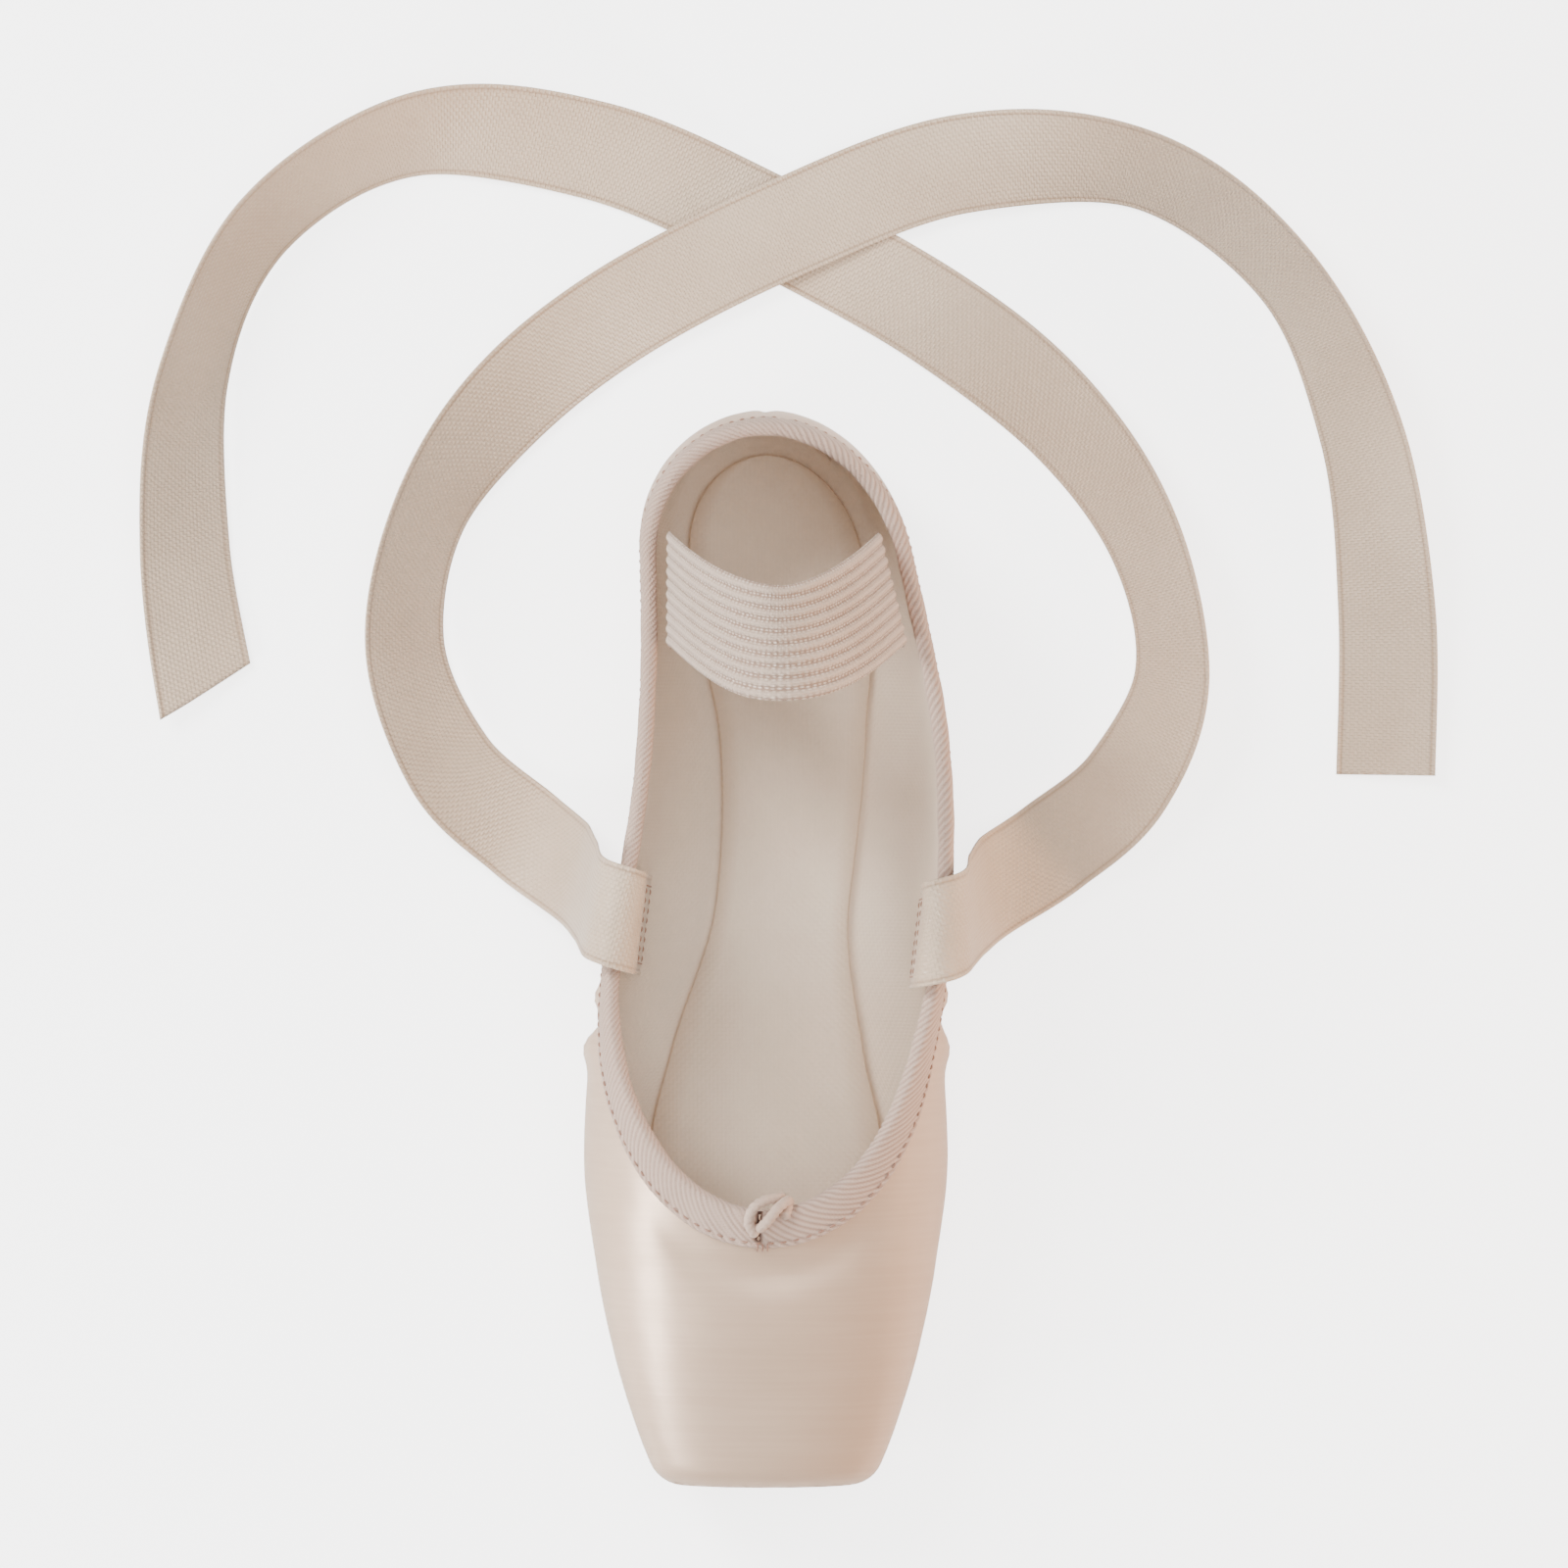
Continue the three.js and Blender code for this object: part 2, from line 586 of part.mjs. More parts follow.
function ribbon(rows) {
  const points = [];
  const widthways = [];
  for (let k = 0; k <= (rows.length - 1) * RIBBON_STEPS; k += 1) {
    const i = Math.min(Math.floor(k / RIBBON_STEPS), rows.length - 2);
    const u = k / RIBBON_STEPS - i;
    const columns = ["x", "y", "lift", "heading", "tip"];
    const [x, y, lift, heading, tip] = columns.map((c) => between(rows, c, i, u));
    const turn = THREE.MathUtils.degToRad(heading);
    const rise = THREE.MathUtils.degToRad(tip);
    const z = lift + (RIBBON_WIDTH / 2) * Math.abs(Math.sin(rise)) + RIBBON_THICKNESS / 2;
    points.push(new THREE.Vector3(x, y, z));
    widthways.push(
      new THREE.Vector3(-Math.sin(turn) * Math.cos(rise), Math.cos(turn) * Math.cos(rise), Math.sin(rise)),
    );
  }
  return stripSolid(points, widthways, RIBBON_WIDTH, RIBBON_THICKNESS);
}

// The drawstring's two tied loops at the middle of the throat: sideways, up the casing and out from it.
const KNOT_LOOPS = [
  [
    { side: -4.2, up: -2.6, out: 3.1 },
    { side: -3.4, up: 1.4, out: 3.3 },
    { side: -0.4, up: 3.6, out: 2.7 },
    { side: 2.6, up: 4, out: 0.4 },
    { side: 3.6, up: 3.4, out: -2.4 },
  ],
  [
    { side: 4, up: -2.4, out: 3.1 },
    { side: 2.4, up: 0.8, out: 3.9 },
    { side: -0.6, up: 3, out: 3.8 },
    { side: -3.4, up: 4.2, out: 1 },
    { side: -4.4, up: 3.2, out: -2 },
  ],
];

/** Tied ends of the drawstring. */
function drawstringKnot() {
  const up = skin[0][ROWS].clone().sub(skin[0][ROWS - 1]).normalize();
  const place = (row) =>
    skinPoint(0, ROWS, row.out).addScaledVector(up, row.up).add(new THREE.Vector3(row.side, 0, 0));
  const loops = KNOT_LOOPS.map((rows) => toSolid(cordSolid(rows.map(place), CORD_DIAMETER, 14)));
  return toGeometry(wasm.Manifold.union(loops));
}

// Materials
const finish = (color, roughness) => new THREE.MeshStandardMaterial({ color, roughness, metalness: 0 });
const satin = finish("#e2d1c3", 0.35);
const tape = finish("#d8c6ba", 0.8);
const ribbonSatin = finish("#ddccb9", 0.45);
const leather = finish("#c9ad92", 0.75);
const lining = finish("#e9e0d4", 0.9);
const elasticKnit = finish("#dccbbd", 0.7);

function piece(name, geometry, material) {
  const mesh = new THREE.Mesh(geometry, material);
  mesh.name = name;
  return mesh;
}

const shoe = new THREE.Group();
shoe.add(
  piece("upper", upper(), satin),
  piece("collar_binding", collarBinding(), tape),
  piece("outsole", outsole(), leather),
  piece("insole", insole(), lining),
  piece("ankle_elastic", ankleElastic(), elasticKnit),
  piece("drawstring_knot", drawstringKnot(), tape),
  piece("ribbon_inner", ribbon(RIBBON_INNER), ribbonSatin),
  piece("ribbon_outer", ribbon(RIBBON_OUTER), ribbonSatin),
);

export default shoe;
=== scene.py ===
"""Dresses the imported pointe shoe: satin upper, bound topline, sole, insole, elastic, knot and ribbons."""

import logging
import math
from dataclasses import dataclass, field
from enum import Enum
from typing import Sequence

import bpy
import numpy as np
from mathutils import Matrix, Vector

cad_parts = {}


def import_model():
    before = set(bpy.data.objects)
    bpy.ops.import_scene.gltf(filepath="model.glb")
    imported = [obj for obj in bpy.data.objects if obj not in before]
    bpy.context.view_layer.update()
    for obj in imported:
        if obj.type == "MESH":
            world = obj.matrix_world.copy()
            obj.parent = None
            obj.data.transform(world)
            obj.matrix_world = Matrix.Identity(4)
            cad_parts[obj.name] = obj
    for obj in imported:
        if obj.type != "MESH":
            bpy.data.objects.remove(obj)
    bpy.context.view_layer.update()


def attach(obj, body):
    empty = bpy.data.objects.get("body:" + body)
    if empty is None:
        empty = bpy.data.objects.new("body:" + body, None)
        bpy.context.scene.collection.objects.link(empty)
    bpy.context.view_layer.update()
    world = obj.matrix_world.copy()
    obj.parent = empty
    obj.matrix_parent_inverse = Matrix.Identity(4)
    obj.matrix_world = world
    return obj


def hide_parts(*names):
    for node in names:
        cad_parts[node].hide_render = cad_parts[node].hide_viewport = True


MM = 0.001
BODY = "root"
CURVE_SAMPLES = 4000
FAN_SAMPLES = 400
COLUMN_SAMPLES = 260
HALVINGS = 36
STITCH_SIDES = 6
STITCH_RINGS = 6
Colour = tuple[float, float, float, float]
log = logging.getLogger("pointe_shoe")


class Slot(Enum):
    """Material slots of the record. Each piece passes one to seat, which doesn't read it."""

    SATIN = "satin"
    TAPE = "tape"
    SOLE = "sole_leather"
    LINING = "lining"
    ELASTIC = "elastic"
    CORD = "cord"
    RIBBON = "ribbon"


class Side(Enum):
    """Sides of the shoe across its middle line."""

    INNER = 1
    OUTER = -1


# Curves and small number helpers


class TableCurve:
    """A curve through one column of a table that never overshoots its rows."""

    def __init__(self, at: Sequence[float], values: Sequence[float]) -> None:
        """Lays the curve out finely once, so that reading it is quick.

        Args:
            at: Stations of the rows, rising.
            values: The column's value at each row.
        """
        x = np.asarray(at, float)
        y = np.asarray(values, float)
        slope = np.diff(y) / np.diff(x)
        tangent = np.empty_like(y)
        tangent[0], tangent[-1] = slope[0], slope[-1]
        before, after = slope[:-1], slope[1:]
        same = before * after > 0
        total = np.where(same, before + after, 1.0)
        tangent[1:-1] = np.where(same, 2 * before * after / total, 0.0)
        self.fine = np.linspace(x[0], x[-1], CURVE_SAMPLES)
        i = np.clip(np.searchsorted(x, self.fine) - 1, 0, len(x) - 2)
        step = x[i + 1] - x[i]
        u = (self.fine - x[i]) / step
        v = 1 - u
        self.value = (
            v * v * (1 + 2 * u) * y[i]
            + u * u * (3 - 2 * u) * y[i + 1]
            + u * v * step * (v * tangent[i] - u * tangent[i + 1])
        )

    def __call__(self, x: np.ndarray) -> np.ndarray:
        """Returns the curve's value at each station."""
        return np.interp(x, self.fine, self.value)


def smooth_step(start: float, end: float, x: np.ndarray) -> np.ndarray:
    """Returns 0 before start, 1 after end and a smooth ramp between them."""
    u = np.clip((np.asarray(x, float) - start) / (end - start), 0, 1)
    return u * u * (3 - 2 * u)


def rounded_end(end: float, reach: float, x: np.ndarray) -> np.ndarray:
    """Returns a factor that falls from 1 to 0 along a quarter circle over the last reach before end."""
    u = np.clip((np.asarray(x, float) - end) / reach + 1, 0, 1)
    return np.sqrt(1 - u * u)


def unit(v: np.ndarray) -> np.ndarray:
    """Returns the vectors along the last axis at length 1."""
    return v / np.maximum(np.linalg.norm(v, axis=-1, keepdims=True), 1e-12)


def run_length(points: np.ndarray) -> np.ndarray:
    """Returns the distance along a polyline to each of its points."""
    steps = np.linalg.norm(np.diff(points, axis=0), axis=-1)
    return np.concatenate([[0.0], np.cumsum(steps)])


def resample(along: np.ndarray, values: np.ndarray, want: np.ndarray) -> np.ndarray:
    """Reads rows of values off at other distances.

    Args:
        along: Distances that the rows stand at.
        values: The rows.
        want: Distances to read at.

    Returns:
        The rows at the wanted distances.
    """
    flat = values.reshape(len(along), -1)
    out = np.stack([np.interp(want, along, flat[:, k]) for k in range(flat.shape[1])], axis=-1)
    return out.reshape(want.shape + values.shape[1:])


# Meshes


@dataclass
class Grid:
    """A net of points that becomes a mesh, with coordinates in millimetres.

    Attributes:
        points: Points by ring and place in the ring, three numbers each.
        around: Whether the last ring joins the first.
        closed: Whether each ring joins its own end.
        cloth: Cloth coordinates of each point, along and across, in millimetres.
        masks: Named values for each point, which the finishes read.
        finish_of: Number of the finish for each place in the ring.
    """

    points: np.ndarray
    around: bool = False
    closed: bool = True
    cloth: np.ndarray | None = None
    masks: dict[str, np.ndarray] = field(default_factory=dict)
    finish_of: np.ndarray | None = None

    def to_object(self, name: str, finishes: Sequence[bpy.types.Material]) -> bpy.types.Object:
        """Makes the mesh and its object.

        Args:
            name: The piece's name.
            finishes: Its materials, in the order that finish_of counts.

        Returns:
            The new object, linked to the scene.
        """
        rings, size = self.points.shape[:2]
        c = np.arange(rings if self.around else rings - 1)
        r = np.arange(size if self.closed else size - 1)
        cc, rr = np.meshgrid(c, r, indexing="ij")
        nc, nr = (cc + 1) % rings, (rr + 1) % size
        quads = np.stack([cc * size + rr, nc * size + rr, nc * size + nr, cc * size + nr], -1).reshape(-1, 4)
        faces = quads.tolist()
        if not self.around and self.closed:
            faces.append(list(range(size)))
            faces.append([(rings - 1) * size + k for k in reversed(range(size))])
        mesh = bpy.data.meshes.new(name)
        mesh.from_pydata((self.points.reshape(-1, 3) * MM).tolist(), [], faces)
        mesh.polygons.foreach_set("use_smooth", np.ones(len(faces), bool))
        for finish in finishes:
            mesh.materials.append(finish)
        if self.finish_of is not None:
            picks = np.zeros(len(faces), np.int32)
            picks[: len(quads)] = self.finish_of[rr].reshape(-1)
            mesh.polygons.foreach_set("material_index", picks)
        self._write_cloth(mesh, cc, rr, len(quads))
        for label, values in self.masks.items():
            layer = mesh.attributes.new(label, "FLOAT", "POINT")
            layer.data.foreach_set("value", values.reshape(-1).astype(np.float32))
        mesh.validate(clean_customdata=False)
        mesh.update()
        piece = bpy.data.objects.new(name, mesh)
        bpy.context.scene.collection.objects.link(piece)
        face_outwards(piece)
        return piece

    def _write_cloth(self, mesh: bpy.types.Mesh, cc: np.ndarray, rr: np.ndarray, quads: int) -> None:
        """Stores the cloth coordinates as the mesh's UV map, unrolled so that no face wraps round.

        Args:
            mesh: The mesh.
            cc: Each face's ring.
            rr: Each face's place in the ring.
            quads: Number of faces in the net.
        """
        if self.cloth is None:
            return
        rings, size = self.points.shape[:2]
        u = np.concatenate([self.cloth[..., 0], self._next_turn(self.cloth[..., 0])[None]], 0)
        v = np.concatenate([self.cloth[..., 1], self.cloth[:1, :, 1]], 0)
        nr = (rr + 1) % size
        corners = [(cc, rr), (cc + 1, rr), (cc + 1, nr), (cc, nr)]
        uv = np.stack([np.stack([u[a % (rings + 1), b], v[a % (rings + 1), b]], -1) for a, b in corners], 2)
        flat = np.zeros((len(mesh.loops), 2), np.float32)
        flat[: quads * 4] = uv.reshape(-1, 2)
        layer = mesh.uv_layers.new(name="cloth")
        layer.data.foreach_set("uv", flat.reshape(-1))

    @staticmethod
    def _next_turn(u: np.ndarray) -> np.ndarray:
        """Returns the along coordinate one ring past the last, so that the closing faces don't jump."""
        return u[-1] + (u[-1] - u[-2])


def face_outwards(piece: bpy.types.Object) -> None:
    """Turns a closed mesh's faces round if they point inwards.

    Args:
        piece: The object whose mesh is turned.
    """
    mesh = piece.data
    co = np.empty(len(mesh.vertices) * 3)
    mesh.vertices.foreach_get("co", co)
    co = co.reshape(-1, 3)
    mesh.calc_loop_triangles()
    tri = np.empty(len(mesh.loop_triangles) * 3, np.int32)
    mesh.loop_triangles.foreach_get("vertices", tri)
    a, b, c = (co[tri.reshape(-1, 3)[:, k]] for k in range(3))
    if np.einsum("ij,ij->", a, np.cross(b, c)) < 0:
        mesh.flip_normals()


def seat(piece: bpy.types.Object, slot: Slot, *nodes: str) -> bpy.types.Object:
    """Fixes a piece to the shoe and lets it stand for CAD nodes.

    Args:
        piece: The piece.
        slot: The slot that its finish belongs to; not used.
        *nodes: CAD nodes that it stands for.

    Returns:
        The same piece.
    """
    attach(piece, BODY)
    if nodes:
        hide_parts(*nodes)
    log.info("%s: %d faces", piece.name, len(piece.data.polygons))
    return piece


def tube_rings(path: np.ndarray, radius: float, sides: int) -> np.ndarray:
    """Lays rings of points around a path, turned as little as possible from one to the next.

    Args:
        path: Points of the middle line.
        radius: Radius of the rings.
        sides: Points in each ring.

    Returns:
        Points by ring and place.
    """
    along = unit(np.gradient(path, axis=0))
    across = np.empty_like(path)
    guess = np.array([0.0, 0.0, 1.0]) if abs(along[0, 2]) < 0.9 else np.array([1.0, 0.0, 0.0])
    for i, t in enumerate(along):
        guess = guess - t * guess.dot(t)
        guess = guess / np.linalg.norm(guess)
        across[i] = guess
    third = np.cross(along, across)
    angle = np.linspace(0, 2 * math.pi, sides, endpoint=False)
    ring = np.cos(angle)[None, :, None] * across[:, None] + np.sin(angle)[None, :, None] * third[:, None]
    return path[:, None] + radius * ring


def smooth_path(points: np.ndarray, steps: int) -> np.ndarray:
    """Draws a Catmull-Rom curve.

    Args:
        points: Points that it goes through.
        steps: Steps between two of them.

    Returns:
        The curve's points.
    """
    padded = np.concatenate([points[:1], points, points[-1:]])
    u = np.linspace(0, 1, steps, endpoint=False)[:, None]
    runs = []
    for i in range(len(points) - 1):
        a, b, c, d = padded[i : i + 4]
        runs.append(b + 0.5 * u * (c - a + u * (2 * a - 5 * b + 4 * c - d + u * (3 * (b - c) + d - a))))
    return np.concatenate([*runs, points[-1:]])


def stitch_rings(start: np.ndarray, end: np.ndarray, out: np.ndarray, thick: float) -> list[np.ndarray]:
    """Shapes one stitch, a short thread that dips into the cloth at both ends.

    Args:
        start: Where it comes out.
        end: Where it goes in.
        out: Direction away from the cloth.
        thick: Half the thread's thickness.

    Returns:
        Its rings of points.
    """
    share = np.linspace(0, 1, STITCH_RINGS)
    line = start + (end - start) * share[:, None] + out * (np.sin(math.pi * share) * thick)[:, None]
    swell = thick * (0.35 + 0.65 * np.sin(math.pi * share) ** 0.5)
    rings = tube_rings(line, 1.0, STITCH_SIDES) - line[:, None]
    return [line[i] + rings[i] * swell[i] for i in range(len(line))]


def stitches_object(
    name: str,
    ends: Sequence[tuple[np.ndarray, np.ndarray, np.ndarray]],
    thick: float,
    finish: bpy.types.Material,
) -> bpy.types.Object:
    """Makes one piece of many stitches.

    Args:
        name: The piece's name.
        ends: Start, end and outward direction of each stitch, in millimetres.
        thick: Half the thread's thickness.
        finish: The thread's material.

    Returns:
        The new object.
    """
    vertices: list[np.ndarray] = []
    faces: list[list[int]] = []
    for start, end, out in ends:
        rings = stitch_rings(start, end, out, thick)
        base = len(vertices) * STITCH_SIDES
        vertices.extend(rings)
        for i in range(len(rings) - 1):
            a = base + i * STITCH_SIDES
            for k in range(STITCH_SIDES):
                n = (k + 1) % STITCH_SIDES
                faces.append([a + k, a + STITCH_SIDES + k, a + STITCH_SIDES + n, a + n])
        last = base + (len(rings) - 1) * STITCH_SIDES
        faces.append([base + k for k in range(STITCH_SIDES)])
        faces.append([last + k for k in reversed(range(STITCH_SIDES))])
    mesh = bpy.data.meshes.new(name)
    mesh.from_pydata((np.concatenate(vertices) * MM).tolist(), [], faces)
    mesh.polygons.foreach_set("use_smooth", np.ones(len(faces), bool))
    mesh.materials.append(finish)
    mesh.update()
    piece = bpy.data.objects.new(name, mesh)
    bpy.context.scene.collection.objects.link(piece)
    face_outwards(piece)
    return piece


# Finishes


class Graph:
    """A short way to write shader nodes."""

    def __init__(self, tree: bpy.types.NodeTree) -> None:
        """Keeps the tree that the nodes go into."""
        self.tree = tree

    def node(self, kind: str, inputs: dict | None = None, **settings: object) -> bpy.types.Node:
        """Adds a node.

        Args:
            kind: Blender's node type.
            inputs: Values or output sockets for its inputs, by name or number.
            **settings: Properties of the node itself.

        Returns:
            The node.
        """
        made = self.tree.nodes.new(kind)
        for key, value in settings.items():
            setattr(made, key, value)
        for key, value in (inputs or {}).items():
            if isinstance(value, bpy.types.NodeSocket):
                self.tree.links.new(value, made.inputs[key])
            else:
                made.inputs[key].default_value = value
        return made

    def math(self, operation: str, a: object, b: object = 0.0) -> bpy.types.NodeSocket:
        """Returns the result of one arithmetic step."""
        return self.node("ShaderNodeMath", {0: a, 1: b}, operation=operation).outputs[0]

    def mix(self, factor: object, a: object, b: object) -> bpy.types.NodeSocket:
        """Returns a mix of two colours."""
        made = self.node("ShaderNodeMix", {0: factor, 6: a, 7: b}, data_type="RGBA")
        return made.outputs[2]

    def noise(self, vector: object, scale: object, detail: float = 3.0) -> bpy.types.NodeSocket:
        """Returns a noise value from 0 to 1."""
        made = self.node("ShaderNodeTexNoise", {"Vector": vector, "Scale": scale, "Detail": detail})
        return made.outputs["Fac"]

    def ramp(self, value: object, low: float, high: float) -> bpy.types.NodeSocket:
        """Returns a value that goes from 0 at low to 1 at high."""
        made = self.node("ShaderNodeMapRange", {0: value, 1: low, 2: high}, interpolation_type="SMOOTHSTEP")
        return made.outputs[0]

    def scaled(self, vector: object, factors: tuple[float, float, float]) -> bpy.types.NodeSocket:
        """Returns a vector with each part multiplied."""
        made = self.node("ShaderNodeVectorMath", {0: vector, 1: factors}, operation="MULTIPLY")
        return made.outputs[0]

    def times(self, a: object, b: object) -> bpy.types.NodeSocket:
        """Returns the product of two values."""
        return self.math("MULTIPLY", a, b)

    def plus(self, a: object, b: object) -> bpy.types.NodeSocket:
        """Returns the sum of two values."""
        return self.math("ADD", a, b)

    def mask(self, name: str) -> bpy.types.NodeSocket:
        """Returns a mask that the mesh carries."""
        return self.node("ShaderNodeAttribute", attribute_name=name).outputs["Fac"]

    def group(self, group: bpy.types.NodeTree, inputs: dict) -> bpy.types.Node:
        """Places a node group with its own values."""
        return self.node("ShaderNodeGroup", inputs, node_tree=group)

    def bump(self, strength: float, distance: float, height: object) -> bpy.types.NodeSocket:
        """Returns the surface's direction, bent by a relief."""
        made = self.node("ShaderNodeBump", {"Strength": strength, "Distance": distance, "Height": height})
        return made.outputs[0]

    def link(self, target: bpy.types.Node, **sources: bpy.types.NodeSocket) -> None:
        """Joins sockets to a node's inputs, each named in words joined by underscores."""
        for name, source in sources.items():
            self.tree.links.new(source, target.inputs[name.replace("_", " ")])


def new_group(
    name: str, inputs: dict[str, tuple[str, object]], outputs: dict[str, str]
) -> tuple[bpy.types.NodeTree, Graph, bpy.types.Node, bpy.types.Node]:
    """Starts a node group.

    Args:
        name: The group's name.
        inputs: Socket type and default value of each input.
        outputs: Socket type of each output.

    Returns:
        The group, its graph, its input node and its output node.
    """
    tree = bpy.data.node_groups.new(name, "ShaderNodeTree")
    for label, (kind, value) in inputs.items():
        socket = tree.interface.new_socket(label, in_out="INPUT", socket_type=kind)
        if value is not None:
            socket.default_value = value
    for label, kind in outputs.items():
        tree.interface.new_socket(label, in_out="OUTPUT", socket_type=kind)
    graph = Graph(tree)
    return tree, graph, graph.node("NodeGroupInput"), graph.node("NodeGroupOutput")


def weave_group() -> bpy.types.NodeTree:
    """Makes a plain weave's relief from cloth coordinates in millimetres.

    Returns:
        The node group.
    """
    tree, g, given, result = new_group(
        "plain_weave",
        {
            "Cloth": ("NodeSocketVector", None),
            "Along Pitch": ("NodeSocketFloat", 0.5),
            "Across Pitch": ("NodeSocketFloat", 0.5),
            "Unevenness": ("NodeSocketFloat", 0.3),
        },
        {"Height": "NodeSocketFloat", "Tint": "NodeSocketFloat"},
    )
    wobble = g.noise(given.outputs["Cloth"], 0.35, 2.0)
    parts = g.node("ShaderNodeSeparateXYZ", {0: given.outputs["Cloth"]})
    shift = g.times(wobble, given.outputs["Unevenness"])
    waves = []
    for axis, pitch in (("X", "Along Pitch"), ("Y", "Across Pitch")):
        turns = g.math("DIVIDE", g.plus(parts.outputs[axis], shift), given.outputs[pitch])
        waves.append(g.math("SINE", g.times(turns, math.pi)))
    over = g.math("GREATER_THAN", g.times(waves[0], waves[1]), 0.0)
    along = g.math("ABSOLUTE", waves[0])
    across = g.math("ABSOLUTE", waves[1])
    under = g.math("SUBTRACT", 1.0, over)
    blend = g.plus(g.times(along, over), g.times(across, under))
    slub = g.noise(g.scaled(given.outputs["Cloth"], (0.25, 2.4, 1.0)), 1.0, 3.0)
    height = g.plus(blend, g.times(slub, given.outputs["Unevenness"]))
    g.link(result, Height=height, Tint=slub)
    return tree


def tone_group() -> bpy.types.NodeTree:
    """Varies a cloth's colour softly over the shoe.

    Returns:
        The node group.
    """
    tree, g, given, result = new_group(
        "cloth_tone",
        {
            "Place": ("NodeSocketVector", None),
            "Colour": ("NodeSocketColor", (0.8, 0.8, 0.8, 1)),
            "Deep Colour": ("NodeSocketColor", (0.6, 0.6, 0.6, 1)),
            "Amount": ("NodeSocketFloat", 0.3),
        },
        {"Colour": "NodeSocketColor", "Mottle": "NodeSocketFloat"},
    )
    broad = g.ramp(g.noise(given.outputs["Place"], 26.0, 3.0), 0.3, 0.75)
    fine = g.noise(given.outputs["Place"], 420.0, 2.0)
    mottle = g.plus(g.times(broad, 0.7), g.times(fine, 0.3))
    factor = g.times(mottle, given.outputs["Amount"])
    colour = g.mix(factor, given.outputs["Colour"], given.outputs["Deep Colour"])
    g.link(result, Colour=colour, Mottle=mottle)
    return tree


def rub_group() -> bpy.types.NodeTree:
    """Breaks a rubbed edge up into scuffs.

    Returns:
        The node group.
    """
    tree, g, given, result = new_group(
        "rubbed_edge",
        {
            "Rub": ("NodeSocketFloat", 0.0),
            "Place": ("NodeSocketVector", None),
            "Scale": ("NodeSocketFloat", 300.0),
        },
        {"Mask": "NodeSocketFloat"},
    )
    specks = g.noise(given.outputs["Place"], given.outputs["Scale"], 5.0)
    mask = g.ramp(g.plus(specks, given.outputs["Rub"]), 0.85, 1.25)
    g.link(result, Mask=mask)
    return tree


@dataclass(frozen=True)
class SharedEffects:
    """Node groups that more than one finish uses."""

    weave: bpy.types.NodeTree
    tone: bpy.types.NodeTree
    wear_and_shade: bpy.types.NodeTree


def srgb(red: int, green: int, blue: int) -> Colour:
    """Turns screen values into linear light.

    Args:
        red: Red from 0 to 255.
        green: Green from 0 to 255.
        blue: Blue from 0 to 255.

    Returns:
        The colour, opaque.
    """
    def linear(level: int) -> float:
        """Returns one channel as linear light."""
        share = level / 255
        return share / 12.92 if share <= 0.04045 else ((share + 0.055) / 1.055) ** 2.4

    return (linear(red), linear(green), linear(blue), 1.0)


def cloth_tone(
    g: Graph, effects: SharedEffects, place: bpy.types.NodeSocket, colour: Colour, deep: Colour, amount: float
) -> bpy.types.NodeSocket:
    """Returns a cloth's colour, varied softly over the shoe."""
    values = {"Place": place, "Colour": colour, "Deep Colour": deep, "Amount": amount}
    return g.group(effects.tone, values).outputs["Colour"]


def plain_weave(
    g: Graph, effects: SharedEffects, cloth: bpy.types.NodeSocket, along: float, across: float, uneven: float
) -> bpy.types.Node:
    """Returns the weave's node, for pitches along and across in millimetres."""
    values = {"Cloth": cloth, "Along Pitch": along, "Across Pitch": across, "Unevenness": uneven}
    return g.group(effects.weave, values)


def start_material(name: str) -> tuple[bpy.types.Material, Graph, bpy.types.Node]:
    """Starts a material with one shader.

    Args:
        name: The material's name.

    Returns:
        The material, its graph and its shader.
    """
    material = bpy.data.materials.new(name)
    material.use_nodes = True
    material.node_tree.nodes.clear()
    g = Graph(material.node_tree)
    shader = g.node("ShaderNodeBsdfPrincipled")
    g.node("ShaderNodeOutputMaterial", {"Surface": shader.outputs[0]})
    return material, g, shader


@dataclass(frozen=True)
class SatinFinish:
    """Pale peach satin with fine crosswise threads and a soft streak of gloss."""

    colour: Colour = srgb(218, 188, 162)
    deep: Colour = srgb(196, 160, 132)
    scuffed: Colour = srgb(176, 144, 120)
    gloss: float = 0.34

    def build(self, effects: SharedEffects) -> bpy.types.Material:
        """Builds the material.

        Args:
            effects: The finishes' shared node groups.

        Returns:
            The material.
        """
        material, g, shader = start_material("satin")
        place = g.node("ShaderNodeTexCoord").outputs["Object"]
        tone = cloth_tone(g, effects, place, self.colour, self.deep, 0.4)
        # On the satin this mask holds only real wear: scuffs round the platform.
        wear_and_shade = g.mask("wear_and_shade")
        scuff = g.group(effects.wear_and_shade, {"Rub": wear_and_shade, "Place": place, "Scale": 420.0}).outputs["Mask"]
        colour = g.mix(scuff, tone, self.scuffed)
        threads = g.noise(g.scaled(place, (45.0, 1250.0, 45.0)), 1.0, 0.0)
        slubs = g.noise(g.scaled(place, (40.0, 420.0, 40.0)), 1.0, 0.0)
        relief = g.plus(g.times(threads, 0.6), g.times(slubs, 0.12))
        shade = g.times(g.ramp(threads, 0.3, 0.7), 0.2)
        colour = g.mix(shade, colour, self.deep)
        even = g.plus(self.gloss, g.times(slubs, 0.08))
        rough = g.plus(g.times(scuff, 0.35), even)
        bump = g.bump(0.08, 0.0003, relief)
        g.link(shader, Base_Color=colour, Roughness=rough, Normal=bump)
        shader.inputs["Metallic"].default_value = 0.22
        shader.inputs["Specular IOR Level"].default_value = 0.6
        shader.inputs["Sheen Weight"].default_value = 0.25
        shader.inputs["Sheen Roughness"].default_value = 0.35
        shader.inputs["Sheen Tint"].default_value = (1.0, 0.9, 0.82, 1.0)
        return material


